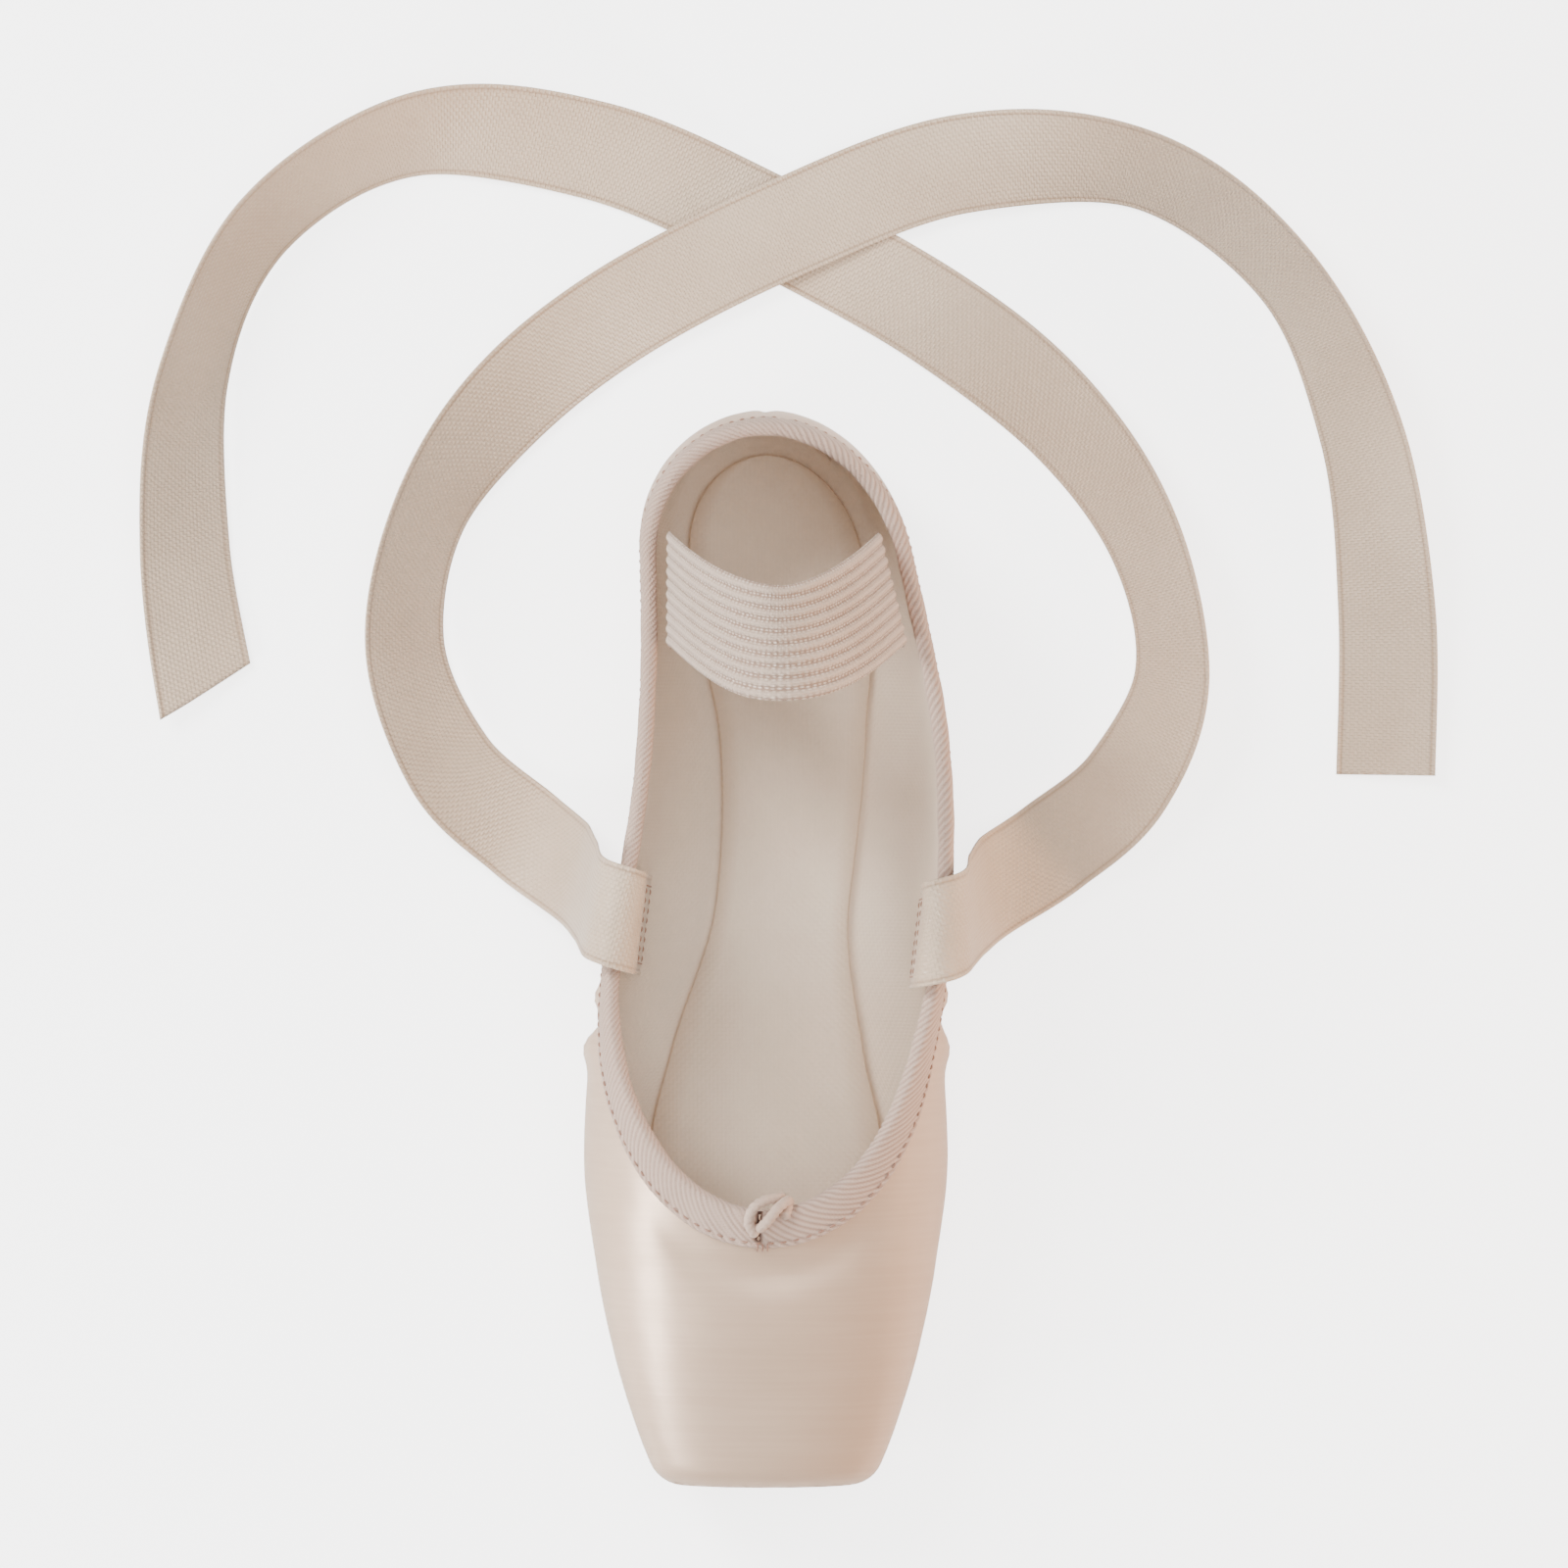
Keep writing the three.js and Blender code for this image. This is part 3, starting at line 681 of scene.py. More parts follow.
@dataclass(frozen=True)
class TapeFinish:
    """Matte ribbed tape of the binding, with painted shade in the valleys between its ribs and in the
    drawstring slit.
    """

    colour: Colour = srgb(208, 182, 165)
    deep: Colour = srgb(142, 108, 92)
    # Painted shade for the inside of the drawstring slit.
    slit_shade: Colour = srgb(74, 50, 40)

    def build(self, effects: SharedEffects) -> bpy.types.Material:
        """Builds the material.

        Args:
            effects: The finishes' shared node groups.

        Returns:
            The material.
        """
        material, g, shader = start_material("binding_tape")
        coords = g.node("ShaderNodeTexCoord")
        tone = cloth_tone(g, effects, coords.outputs["Object"], self.colour, self.deep, 0.14)
        weave = plain_weave(g, effects, coords.outputs["UV"], 0.55, 0.4, 0.35)
        valley = g.mask("valley")
        slit = g.mask("slit")
        # Painted shade: the valleys between the gathered ribs are darkened towards the deep colour.
        colour = g.mix(g.times(valley, 0.62), tone, self.deep)
        # Painted shade: the slit is filled with a dark colour for the shadow inside the opening.
        colour = g.mix(slit, colour, self.slit_shade)
        bump = g.bump(0.35, 0.0002, weave.outputs["Height"])
        rough = g.plus(0.72, g.times(weave.outputs["Tint"], 0.15))
        g.link(shader, Base_Color=colour, Roughness=rough, Normal=bump)
        shader.inputs["Specular IOR Level"].default_value = 0.3
        shader.inputs["Sheen Weight"].default_value = 0.2
        return material


@dataclass(frozen=True)
class WovenFinish:
    """A plain woven cloth: ribbon, lining, sock or thread, told apart by its values."""

    name: str
    colour: Colour
    deep: Colour
    along_pitch: float
    across_pitch: float
    relief: float
    roughness: float
    edge: float = 0.0
    sheen: float = 0.15

    def build(self, effects: SharedEffects) -> bpy.types.Material:
        """Builds the material.

        Args:
            effects: The finishes' shared node groups.

        Returns:
            The material.
        """
        material, g, shader = start_material(self.name)
        coords = g.node("ShaderNodeTexCoord")
        tone = cloth_tone(g, effects, coords.outputs["Object"], self.colour, self.deep, 0.4)
        weave = plain_weave(g, effects, coords.outputs["UV"], self.along_pitch, self.across_pitch, 0.25)
        colour = g.mix(g.times(weave.outputs["Tint"], 0.25), tone, self.deep)
        # The mask darkens the colour by the edge amount: on the ribbon it is painted shade in the grooves
        # beside the selvedges, and on the sock insole it makes the colour darker towards the edges.
        wear_and_shade = g.mask("wear_and_shade")
        colour = g.mix(g.times(wear_and_shade, self.edge), colour, self.deep)
        bump = g.bump(self.relief, 0.0002, weave.outputs["Height"])
        rough = g.plus(self.roughness - 0.05, g.times(weave.outputs["Tint"], 0.1))
        g.link(shader, Base_Color=colour, Roughness=rough, Normal=bump)
        shader.inputs["Specular IOR Level"].default_value = 0.4
        shader.inputs["Sheen Weight"].default_value = self.sheen
        return material


@dataclass(frozen=True)
class ElasticFinish:
    """Ribbed elastic with a fine open knit between its ridges, whose openings are painted dark as shade and
    whose loops carry painted glints.
    """

    colour: Colour = srgb(210, 186, 166)
    deep: Colour = srgb(140, 108, 88)
    # Painted highlight colour for the glints on the knit.
    glint: Colour = srgb(240, 228, 218)

    def build(self, effects: SharedEffects) -> bpy.types.Material:
        """Builds the material.

        Args:
            effects: The finishes' shared node groups.

        Returns:
            The material.
        """
        material, g, shader = start_material("ribbed_elastic")
        coords = g.node("ShaderNodeTexCoord")
        tone = cloth_tone(g, effects, coords.outputs["Object"], self.colour, self.deep, 0.25)
        valley = g.mask("valley")
        knit = g.scaled(coords.outputs["UV"], (0.95, 1.6, 1.0))
        dots = g.node("ShaderNodeTexVoronoi", {"Vector": knit, "Scale": 1.0, "Randomness": 0.25})
        holes = g.times(g.ramp(dots.outputs["Distance"], 0.25, 0.5), valley)
        glints = g.times(g.math("SUBTRACT", 1.0, g.ramp(dots.outputs["Distance"], 0.1, 0.25)), valley)
        # Painted shade and highlight: the knit's openings are darkened as shade, and bright glints are
        # painted at the middle of each cell.
        colour = g.mix(g.times(holes, 0.8), tone, self.deep)
        colour = g.mix(g.times(glints, 0.7), colour, self.glint)
        weave = plain_weave(g, effects, coords.outputs["UV"], 0.7, 0.6, 0.2)
        height = g.math("SUBTRACT", weave.outputs["Height"], g.times(holes, 2.0))
        bump = g.bump(0.5, 0.0003, height)
        rough = g.plus(0.55, g.times(holes, 0.3))
        g.link(shader, Base_Color=colour, Roughness=rough, Normal=bump)
        shader.inputs["Sheen Weight"].default_value = 0.2
        return material


@dataclass(frozen=True)
class LeatherFinish:
    """Buffed sole leather, darker along its worked edge."""

    colour: Colour = srgb(196, 160, 126)
    deep: Colour = srgb(152, 114, 82)
    worn: Colour = srgb(134, 100, 74)

    def build(self, effects: SharedEffects) -> bpy.types.Material:
        """Builds the material.

        Args:
            effects: The finishes' shared node groups.

        Returns:
            The material.
        """
        material, g, shader = start_material("sole_leather")
        place = g.node("ShaderNodeTexCoord").outputs["Object"]
        tone = cloth_tone(g, effects, place, self.colour, self.deep, 0.6)
        # On the leather this mask holds only the worn edge.
        wear_and_shade = g.mask("wear_and_shade")
        scuff = g.group(effects.wear_and_shade, {"Rub": wear_and_shade, "Place": place, "Scale": 160.0}).outputs["Mask"]
        nap = g.noise(g.scaled(place, (1500.0, 500.0, 1500.0)), 1.0, 3.0)
        grain = g.node("ShaderNodeTexVoronoi", {"Vector": place, "Scale": 900.0})
        colour = g.mix(g.times(nap, 0.35), tone, self.deep)
        colour = g.mix(g.times(scuff, 0.6), colour, self.worn)
        height = g.plus(g.times(grain.outputs["Distance"], 0.8), g.times(nap, 0.6))
        bump = g.bump(0.35, 0.0003, height)
        rough = g.plus(0.6, g.times(nap, 0.2))
        g.link(shader, Base_Color=colour, Roughness=rough, Normal=bump)
        shader.inputs["Sheen Weight"].default_value = 0.1
        return material


@dataclass(frozen=True)
class Finishes:
    """All the materials of the shoe."""

    satin: bpy.types.Material
    tape: bpy.types.Material
    lining: bpy.types.Material
    sock: bpy.types.Material
    leather: bpy.types.Material
    elastic: bpy.types.Material
    ribbon: bpy.types.Material
    thread: bpy.types.Material
    cord: bpy.types.Material


def make_finishes() -> Finishes:
    """Builds every material on the shared effects.

    Returns:
        The materials.
    """
    effects = SharedEffects(weave_group(), tone_group(), rub_group())
    lining = WovenFinish("cotton_lining", srgb(232, 214, 194), srgb(200, 174, 148), 0.8, 0.8, 0.3, 0.85)
    sock = WovenFinish("cotton_sock", srgb(228, 210, 190), srgb(192, 166, 140), 0.9, 0.9, 0.35, 0.88, 0.6)
    # The ribbon's edge value sets how dark the painted shade in its selvedge grooves is.
    ribbon = WovenFinish(
        "ribbon_satin", srgb(224, 200, 174), srgb(172, 140, 112), 0.62, 0.9, 0.8, 0.38, edge=0.75, sheen=0.3
    )
    thread = WovenFinish("sewing_thread", srgb(172, 134, 114), srgb(128, 92, 76), 0.3, 0.3, 0.2, 0.6)
    cord = WovenFinish("drawstring_cord", srgb(212, 186, 168), srgb(168, 136, 116), 0.5, 0.5, 0.4, 0.6)
    return Finishes(
        satin=SatinFinish().build(effects),
        tape=TapeFinish().build(effects),
        lining=lining.build(effects),
        sock=sock.build(effects),
        leather=LeatherFinish().build(effects),
        elastic=ElasticFinish().build(effects),
        ribbon=ribbon.build(effects),
        thread=thread.build(effects),
        cord=cord.build(effects),
    )


# The last


@dataclass(frozen=True)
class LastRow:
    """One section of the last, in millimetres."""

    from_toe: float
    half_width: float
    seat: float
    underside: float
    widest: float
    crown: float


LAST_ROWS = (
    LastRow(0, 23.5, 12, 9, 20, 32.5),
    LastRow(12, 28.3, 17, 6.4, 20, 36.2),
    LastRow(30, 33.7, 22.5, 4.2, 20, 41.5),
    LastRow(48, 37.3, 26, 3.5, 20, 46.4),
    LastRow(72, 40, 27, 3.5, 21, 53.5),
    LastRow(95, 38.8, 22.5, 4.8, 26, 62),
    LastRow(128, 36, 16, 8.5, 35, 76),
    LastRow(165, 33, 17.5, 5.4, 33, 90),
    LastRow(190, 30.8, 20.5, 3.5, 28, 98),
    LastRow(215, 29, 20.5, 3.5, 25, 100),
    LastRow(236, 28, 19.5, 4.3, 24, 100),
)
TOPLINE_ROWS = ((0, 62), (40, 54), (62, 50), (90, 46.2), (128, 43), (165, 44.5), (205, 50), (236, 57))
OUTSOLE_ROWS = ((17, 22), (55, 25), (95, 19.5), (128, 12.5), (165, 14.5), (200, 18.5), (229, 18.5))


class Last:
    """The form that the shoe is made on. Stations count from the platform; all sizes in millimetres."""

    length = 236.0
    platform_edge = 4.5
    heel_round = 30.0
    seat_round = 26.0
    heel_edge = 7.0
    heel_lean = 5.5
    bulge_height = 22.0
    heel_top = 57.0
    lean_reach = 80.0
    inner_swing = 6.0
    swing_start = 84.0
    outsole_from = 17.0
    outsole_to = 229.0
    plate_round = 24.0
    lasting_margin = 8.0
    lasting_ends = 17.0

    def __init__(self) -> None:
        """Reads the tables into curves."""
        at = [row.from_toe for row in LAST_ROWS]
        self.width = TableCurve(at, [row.half_width for row in LAST_ROWS])
        self.seat = TableCurve(at, [row.seat for row in LAST_ROWS])
        self.underside = TableCurve(at, [row.underside for row in LAST_ROWS])
        self.widest = TableCurve(at, [row.widest for row in LAST_ROWS])
        self.crown = TableCurve(at, [row.crown for row in LAST_ROWS])
        self.topline = TableCurve(*zip(*TOPLINE_ROWS))
        self.outsole = TableCurve(*zip(*OUTSOLE_ROWS))

    def middle(self, from_toe: np.ndarray) -> np.ndarray:
        """Returns the sideways place of the middle line."""
        u = np.clip((from_toe - self.swing_start) / (self.length - self.swing_start), 0, 1)
        return self.inner_swing * np.sin(math.pi * u) ** 2

    def half_width_at(self, from_toe: np.ndarray, z: np.ndarray) -> np.ndarray:
        """Measures the last at a height.

        Args:
            from_toe: Stations.
            z: Heights.

        Returns:
            Half the width, or -1 above, below or past the last.
        """
        above = np.maximum(z - self.bulge_height, 0) / (self.heel_top - self.bulge_height)
        heelward = smooth_step(self.length - self.lean_reach, self.length, from_toe)
        at = from_toe + self.heel_lean * above**2 * heelward
        near = np.clip(self.platform_edge - from_toe, 0, self.platform_edge)
        inset = self.platform_edge - np.sqrt(self.platform_edge**2 - near**2)
        back = np.clip(at - self.length + self.heel_edge, 0, self.heel_edge)
        under = self.heel_edge - np.sqrt(self.heel_edge**2 - back**2)
        width = self.width(at) * rounded_end(self.length, self.heel_round, at) - inset
        seat_half = np.minimum((self.seat(at) - inset) * rounded_end(self.length, self.seat_round, at), width)
        widest = self.widest(at)
        high = z > widest
        limit = np.where(high, self.crown(at) - inset, self.underside(at) + inset + under)
        u = (z - widest) / (limit - widest)
        bow = np.sqrt(np.clip(1 - u * u, 0, 1))
        half = np.where(high, width * bow, seat_half + (width - seat_half) * bow)
        return np.where((u >= 1) | (from_toe < 0) | (at >= self.length), -1.0, half)

    def inside(self, p: np.ndarray) -> np.ndarray:
        """Returns whether each point lies inside the last."""
        from_toe = p[..., 1] + self.length / 2
        return np.abs(p[..., 0] - self.middle(from_toe)) < self.half_width_at(from_toe, p[..., 2])

    def opening_half(self, from_toe: np.ndarray) -> np.ndarray:
        """Measures the opening under the foot.

        Args:
            from_toe: Stations.

        Returns:
            Half its width.
        """
        start = self.outsole_from + self.lasting_ends
        end = self.outsole_to - self.lasting_ends / 2
        ends = rounded_end(end, self.plate_round, from_toe) * rounded_end(-start, self.plate_round, -from_toe)
        return np.maximum(self.outsole(from_toe) - self.lasting_margin, 0) * ends


@dataclass
class SoftFold:
    """A soft ridge or trough between two places on the skin, given by side, station and height."""

    start: tuple[float, float, float]
    end: tuple[float, float, float]
    width: float
    height: float

    def relief(self, points: np.ndarray, last: Last) -> np.ndarray:
        """Measures the fold at points of the skin.

        Args:
            points: The points.
            last: The last that they lie on.

        Returns:
            How far each point moves outwards.
        """
        half = last.length / 2
        a = np.array([self.start[0], self.start[1] - half, self.start[2]])
        b = np.array([self.end[0], self.end[1] - half, self.end[2]])
        span = b - a
        t = ((points - a) @ span) / span.dot(span)
        held = np.clip(t, 0, 1)
        away = np.linalg.norm(points - (a + held[..., None] * span), axis=-1)
        fade = 0.35 + 0.65 * np.sin(math.pi * np.clip(held, 0.02, 0.98))
        return self.height * np.exp(-((away / self.width) ** 2)) * fade


class Skin:
    """The upper's outer surface as columns around the shoe, each from the lasting edge to the topline."""

    toe_fan = 83.0
    heel_fan = 203.0
    spine_height = 22.0

    def __init__(self, last: Last, toe: int, sides: int, heel: int, rows: int) -> None:
        """Lays the columns out.

        Args:
            last: The form that the skin lies on.
            toe: Columns in a quarter of the toe.
            sides: Columns along each side.
            heel: Columns in a quarter of the heel.
            rows: Points up each column.
        """
        self.last = last
        quarter = math.pi / 2
        fans = [
            self._fan(self.heel_fan, 2 * quarter, 3 * quarter, heel),
            self._side(self.heel_fan, self.toe_fan, -1.0, sides),
            self._fan(self.toe_fan, 3 * quarter, 4 * quarter, toe),
            self._fan(self.toe_fan, 0.0, quarter, toe),
            self._side(self.toe_fan, self.heel_fan, 1.0, sides),
            self._fan(self.heel_fan, quarter, 2 * quarter, heel),
        ]
        self.spine = np.concatenate([fan[0] for fan in fans])
        self.aim = np.concatenate([fan[1] for fan in fans])
        self.points = self._profiles(rows)
        self.normals = self._normals(self.points)
        self.down = self._down()

    def _cast(self, spine: np.ndarray, aim: np.ndarray, elevation: np.ndarray) -> np.ndarray:
        """Finds where rays from the spine meet the last.

        Args:
            spine: Where the rays start, seen from above.
            aim: Their headings, seen from above.
            elevation: Their angles above level.

        Returns:
            The points that they meet.
        """
        level = np.cos(elevation)
        direction = np.stack([level * aim[..., 0], level * aim[..., 1], np.sin(elevation)], -1)
        height = np.full(elevation.shape, self.spine_height)
        origin = np.stack(np.broadcast_arrays(spine[..., 0], spine[..., 1], height), -1)
        near = np.zeros(elevation.shape)
        far = np.full(elevation.shape, self.last.length)
        for _ in range(HALVINGS - 2):
            r = (near + far) / 2
            hit = self.last.inside(origin + r[..., None] * direction)
            near = np.where(hit, r, near)
            far = np.where(hit, far, r)
        return origin + near[..., None] * direction

    def _fan(self, station: float, start: float, end: float, count: int) -> tuple[np.ndarray, np.ndarray]:
        """Spaces a fan's columns evenly along the outline that it reaches.

        Args:
            station: Station of the fan's hub.
            start: First bearing.
            end: Last bearing.
            count: Number of columns.

        Returns:
            Spine points and aims.
        """
        angle = np.linspace(start, end, FAN_SAMPLES)
        hub = [float(self.last.middle(np.array(station))), station - self.last.length / 2]
        spine = np.tile(hub, (FAN_SAMPLES, 1))
        aim = np.stack([np.sin(angle), -np.cos(angle)], -1)
        along = run_length(self._cast(spine, aim, np.zeros(FAN_SAMPLES)))
        picked = np.interp(np.arange(count) * along[-1] / count, along, angle)
        return spine[:count], np.stack([np.sin(picked), -np.cos(picked)], -1)

    def _side(self, start: float, end: float, way: float, count: int) -> tuple[np.ndarray, np.ndarray]:
        """Spaces the columns of one straight side.

        Args:
            start: First station.
            end: Last station.
            way: 1 for the inner side, -1 for the outer.
            count: Number of columns.

        Returns:
            Spine points and aims.
        """
        station = start + (end - start) * np.arange(count) / count
        spine = np.stack([self.last.middle(station), station - self.last.length / 2], -1)
        return spine, np.tile([way, 0.0], (count, 1))

    def _limit(self, low: float, high: float, above: bool) -> np.ndarray:
        """Finds where each column ends.

        Args:
            low: Lowest elevation.
            high: Highest elevation.
            above: True for the topline, False for the lasting edge.

        Returns:
            Each column's elevation there.
        """
        lo = np.full(len(self.spine), low)
        hi = np.full(len(self.spine), high)
        for _ in range(HALVINGS):
            half = (lo + hi) / 2
            p = self._cast(self.spine, self.aim, half)
            from_toe = p[..., 1] + self.last.length / 2
            if above:
                measure = p[..., 2] - self.last.topline(from_toe)
            else:
                measure = np.abs(p[..., 0] - self.last.middle(from_toe)) - self.last.opening_half(from_toe)
            lo = np.where(measure < 0, half, lo)
            hi = np.where(measure < 0, hi, half)
        return (lo + hi) / 2

    def _profiles(self, rows: int) -> np.ndarray:
        """Spaces each column evenly from the lasting edge to the topline.

        Args:
            rows: Points in each column.

        Returns:
            The points by column.
        """
        low = self._limit(-math.pi / 2, 0.0, False)
        high = self._limit(0.0, math.pi / 2, True)
        share = np.linspace(0, 1, COLUMN_SAMPLES)
        elevation = low[:, None] + (high - low)[:, None] * share
        fine = self._cast(self.spine[:, None], self.aim[:, None], elevation)
        out = np.empty((len(fine), rows, 3))
        for c, column in enumerate(fine):
            along = run_length(column)
            out[c] = resample(along, column, np.linspace(0, along[-1], rows))
        return out

    @staticmethod
    def _normals(points: np.ndarray) -> np.ndarray:
        """Finds the outward directions.

        Args:
            points: Points by column.

        Returns:
            A direction for each point.
        """
        around = np.roll(points, -1, 0) - np.roll(points, 1, 0)
        up = np.gradient(points, axis=1)
        return unit(np.cross(around, up))

    def _down(self) -> np.ndarray:
        """Measures down each column.

        Returns:
            Each point's distance below the topline.
        """
        steps = np.linalg.norm(np.diff(self.points, axis=1), axis=-1)
        total = np.concatenate([np.zeros((len(steps), 1)), np.cumsum(steps, 1)], 1)
        return total[:, -1:] - total

    def at_depth(self, depth: float) -> tuple[np.ndarray, np.ndarray]:
        """Follows the topline at one distance below it.

        Args:
            depth: The distance.

        Returns:
            A point and a normal for each column.
        """
        spots = np.empty((len(self.points), 3))
        outward = np.empty_like(spots)
        for c in range(len(self.points)):
            want = np.array([depth])
            spots[c] = resample(-self.down[c], self.points[c], -want)[0]
            outward[c] = resample(-self.down[c], self.normals[c], -want)[0]
        return spots, unit(outward)


# The pieces


@dataclass
class Upper:
    """Hollow satin upper with its cotton lining."""

    skin: Skin
    wall: float = 2.0
    edge_wall: float = 1.3
    lining_rows: int = 34
    throat_dip: float = 0.9
    throat_depth: float = 13.0
    throat_spread: float = 4.5
    tuck: float = 0.9
    tuck_depth: float = 8.5
    tuck_spread: float = 4.0
    ripple: float = 0.02
    seam: float = 0.45
    side_seam: float = 113.0
    pleat_centre: float = 48.0
    pleat_count: int = 26
    pleat_depth: float = 0.55

    def folds(self) -> list[SoftFold]:
        """Lists the creases of the worn satin, in the shoe's own sizes.

        Returns:
            The folds.
        """
        made: list[SoftFold] = []
        for side in (1, -1):
            deep = 1.0 if side < 0 else 0.85
            made += [
                SoftFold((side * 40, 99, 15), (side * 35, 105, 40), 2.3, -2.4 * deep),
                SoftFold((side * 40, 94, 14), (side * 36, 98, 38), 3.4, 1.7 * deep),
                SoftFold((side * 39, 104, 14), (side * 36 + 2, 110, 38), 2.4, 1.2 * deep),
                SoftFold((side * 37, 110, 14), (side * 36 + 3, 117, 36), 2.2, -1.3 * deep),
                SoftFold((side * 30 + 3, 124, 12), (side * 35 + 4, 138, 33), 3.4, -0.55),
                SoftFold((side * 30 + 5, 146, 12), (side * 33 + 6, 154, 34), 4.0, -0.45),
                SoftFold((side * 31 + 4, 178, 16), (side * 30 + 5, 168, 36), 4.2, 0.4),
                SoftFold((side * 27, 58, 40), (side * 33, 74, 36), 5.0, -0.35),
            ]
        made += [
            SoftFold((-14, 46, 43), (12, 49, 44), 4.5, -0.35),
            SoftFold((-10, 20, 37), (14, 24, 38), 6.0, -0.25),
        ]
        return made

    def relief(self) -> np.ndarray:
        """Adds the creases, seams and pleats up.

        Returns:
            How far the satin stands off the last at each point of the skin.
        """
        points, last = self.skin.points, self.skin.last
        from_toe = points[..., 1] + last.length / 2
        total = sum(fold.relief(points, last) for fold in self.folds())
        front = smooth_step(30, 14, np.abs(points[..., 0])) * (from_toe < 75) * (points[..., 2] > 30)
        dip = np.exp(-(((self.skin.down - self.throat_depth) / self.throat_spread) ** 2))
        total = total - self.throat_dip * front * dip
        waist = smooth_step(86, 100, from_toe) * smooth_step(190, 160, from_toe)
        drawn = np.exp(-(((self.skin.down - self.tuck_depth) / self.tuck_spread) ** 2))
        total = total - self.tuck * waist * drawn
        x, y, z = points[..., 0], points[..., 1], points[..., 2]
        ripple = np.sin(x * 0.9 + y * 0.35) * np.sin(z * 0.5 + y * 0.21)
        total = total + self.ripple * ripple
        off_middle = points[..., 0] - last.middle(from_toe)
        total = total - self.seam * np.exp(-((off_middle / 1.3) ** 2)) * smooth_step(222, 230, from_toe)
        side = np.exp(-(((from_toe - self.side_seam) / 1.2) ** 2))
        total = total - self.seam * side * smooth_step(20, 26, np.abs(off_middle))
        return np.clip(total, -1.7, 1.9) + self.pleats(points, from_toe)

    def pleats(self, points: np.ndarray, from_toe: np.ndarray) -> np.ndarray:
        """Gathers the satin under the toe, where it is drawn in under the sole.

        Args:
            points: The skin's points.
            from_toe: Their stations.

        Returns:
            The relief of the pleats.
        """
        ahead = self.pleat_centre - from_toe
        reach = np.hypot(points[..., 0], ahead)
        bearing = np.arctan2(points[..., 0], ahead)
        under = smooth_step(11, 6, points[..., 2]) * smooth_step(self.pleat_centre, 34, from_toe)
        under = under * smooth_step(44, 32, reach)
        return self.pleat_depth * under * (np.abs(np.sin(bearing * self.pleat_count)) - 0.6)

    def build(self, finishes: Finishes) -> bpy.types.Object:
        """Makes the upper.

        Args:
            finishes: The shoe's materials.

        Returns:
            The piece.
        """
        skin = self.skin
        rows = skin.points.shape[1]
        outer = skin.points + skin.normals * self.relief()[..., None]
        pick = np.linspace(rows - 1, 0, self.lining_rows).round().astype(int)
        thin = self.wall - (self.wall - self.edge_wall) * smooth_step(16, 4, skin.down[:, pick])
        inner = skin.points[:, pick] - skin.normals[:, pick] * thin[..., None]
        points = np.concatenate([outer, inner], 1)
        girth = np.concatenate([skin.down, skin.down[:, pick]], 1)
        around = np.tile(run_length(skin.points[:, rows // 2])[:, None], (1, points.shape[1]))
        from_toe = points[..., 1] + skin.last.length / 2
        rim = np.exp(-(((from_toe - 2.2) / 2.6) ** 2)) * smooth_step(30, 8, points[..., 2] - 4) * 0.8
        face = smooth_step(1.5, 0.2, from_toe) * 0.45
        finish_of = np.zeros(points.shape[1], int)
        finish_of[rows - 1 :] = 1
        grid = Grid(
            points,
            around=True,
            cloth=np.stack([around, girth], -1),
            masks={"wear_and_shade": np.clip(rim + face, 0, 1)},
            finish_of=finish_of,
        )
        piece = grid.to_object("satin_upper", [finishes.satin, finishes.lining])
        return seat(piece, Slot.SATIN, "upper")


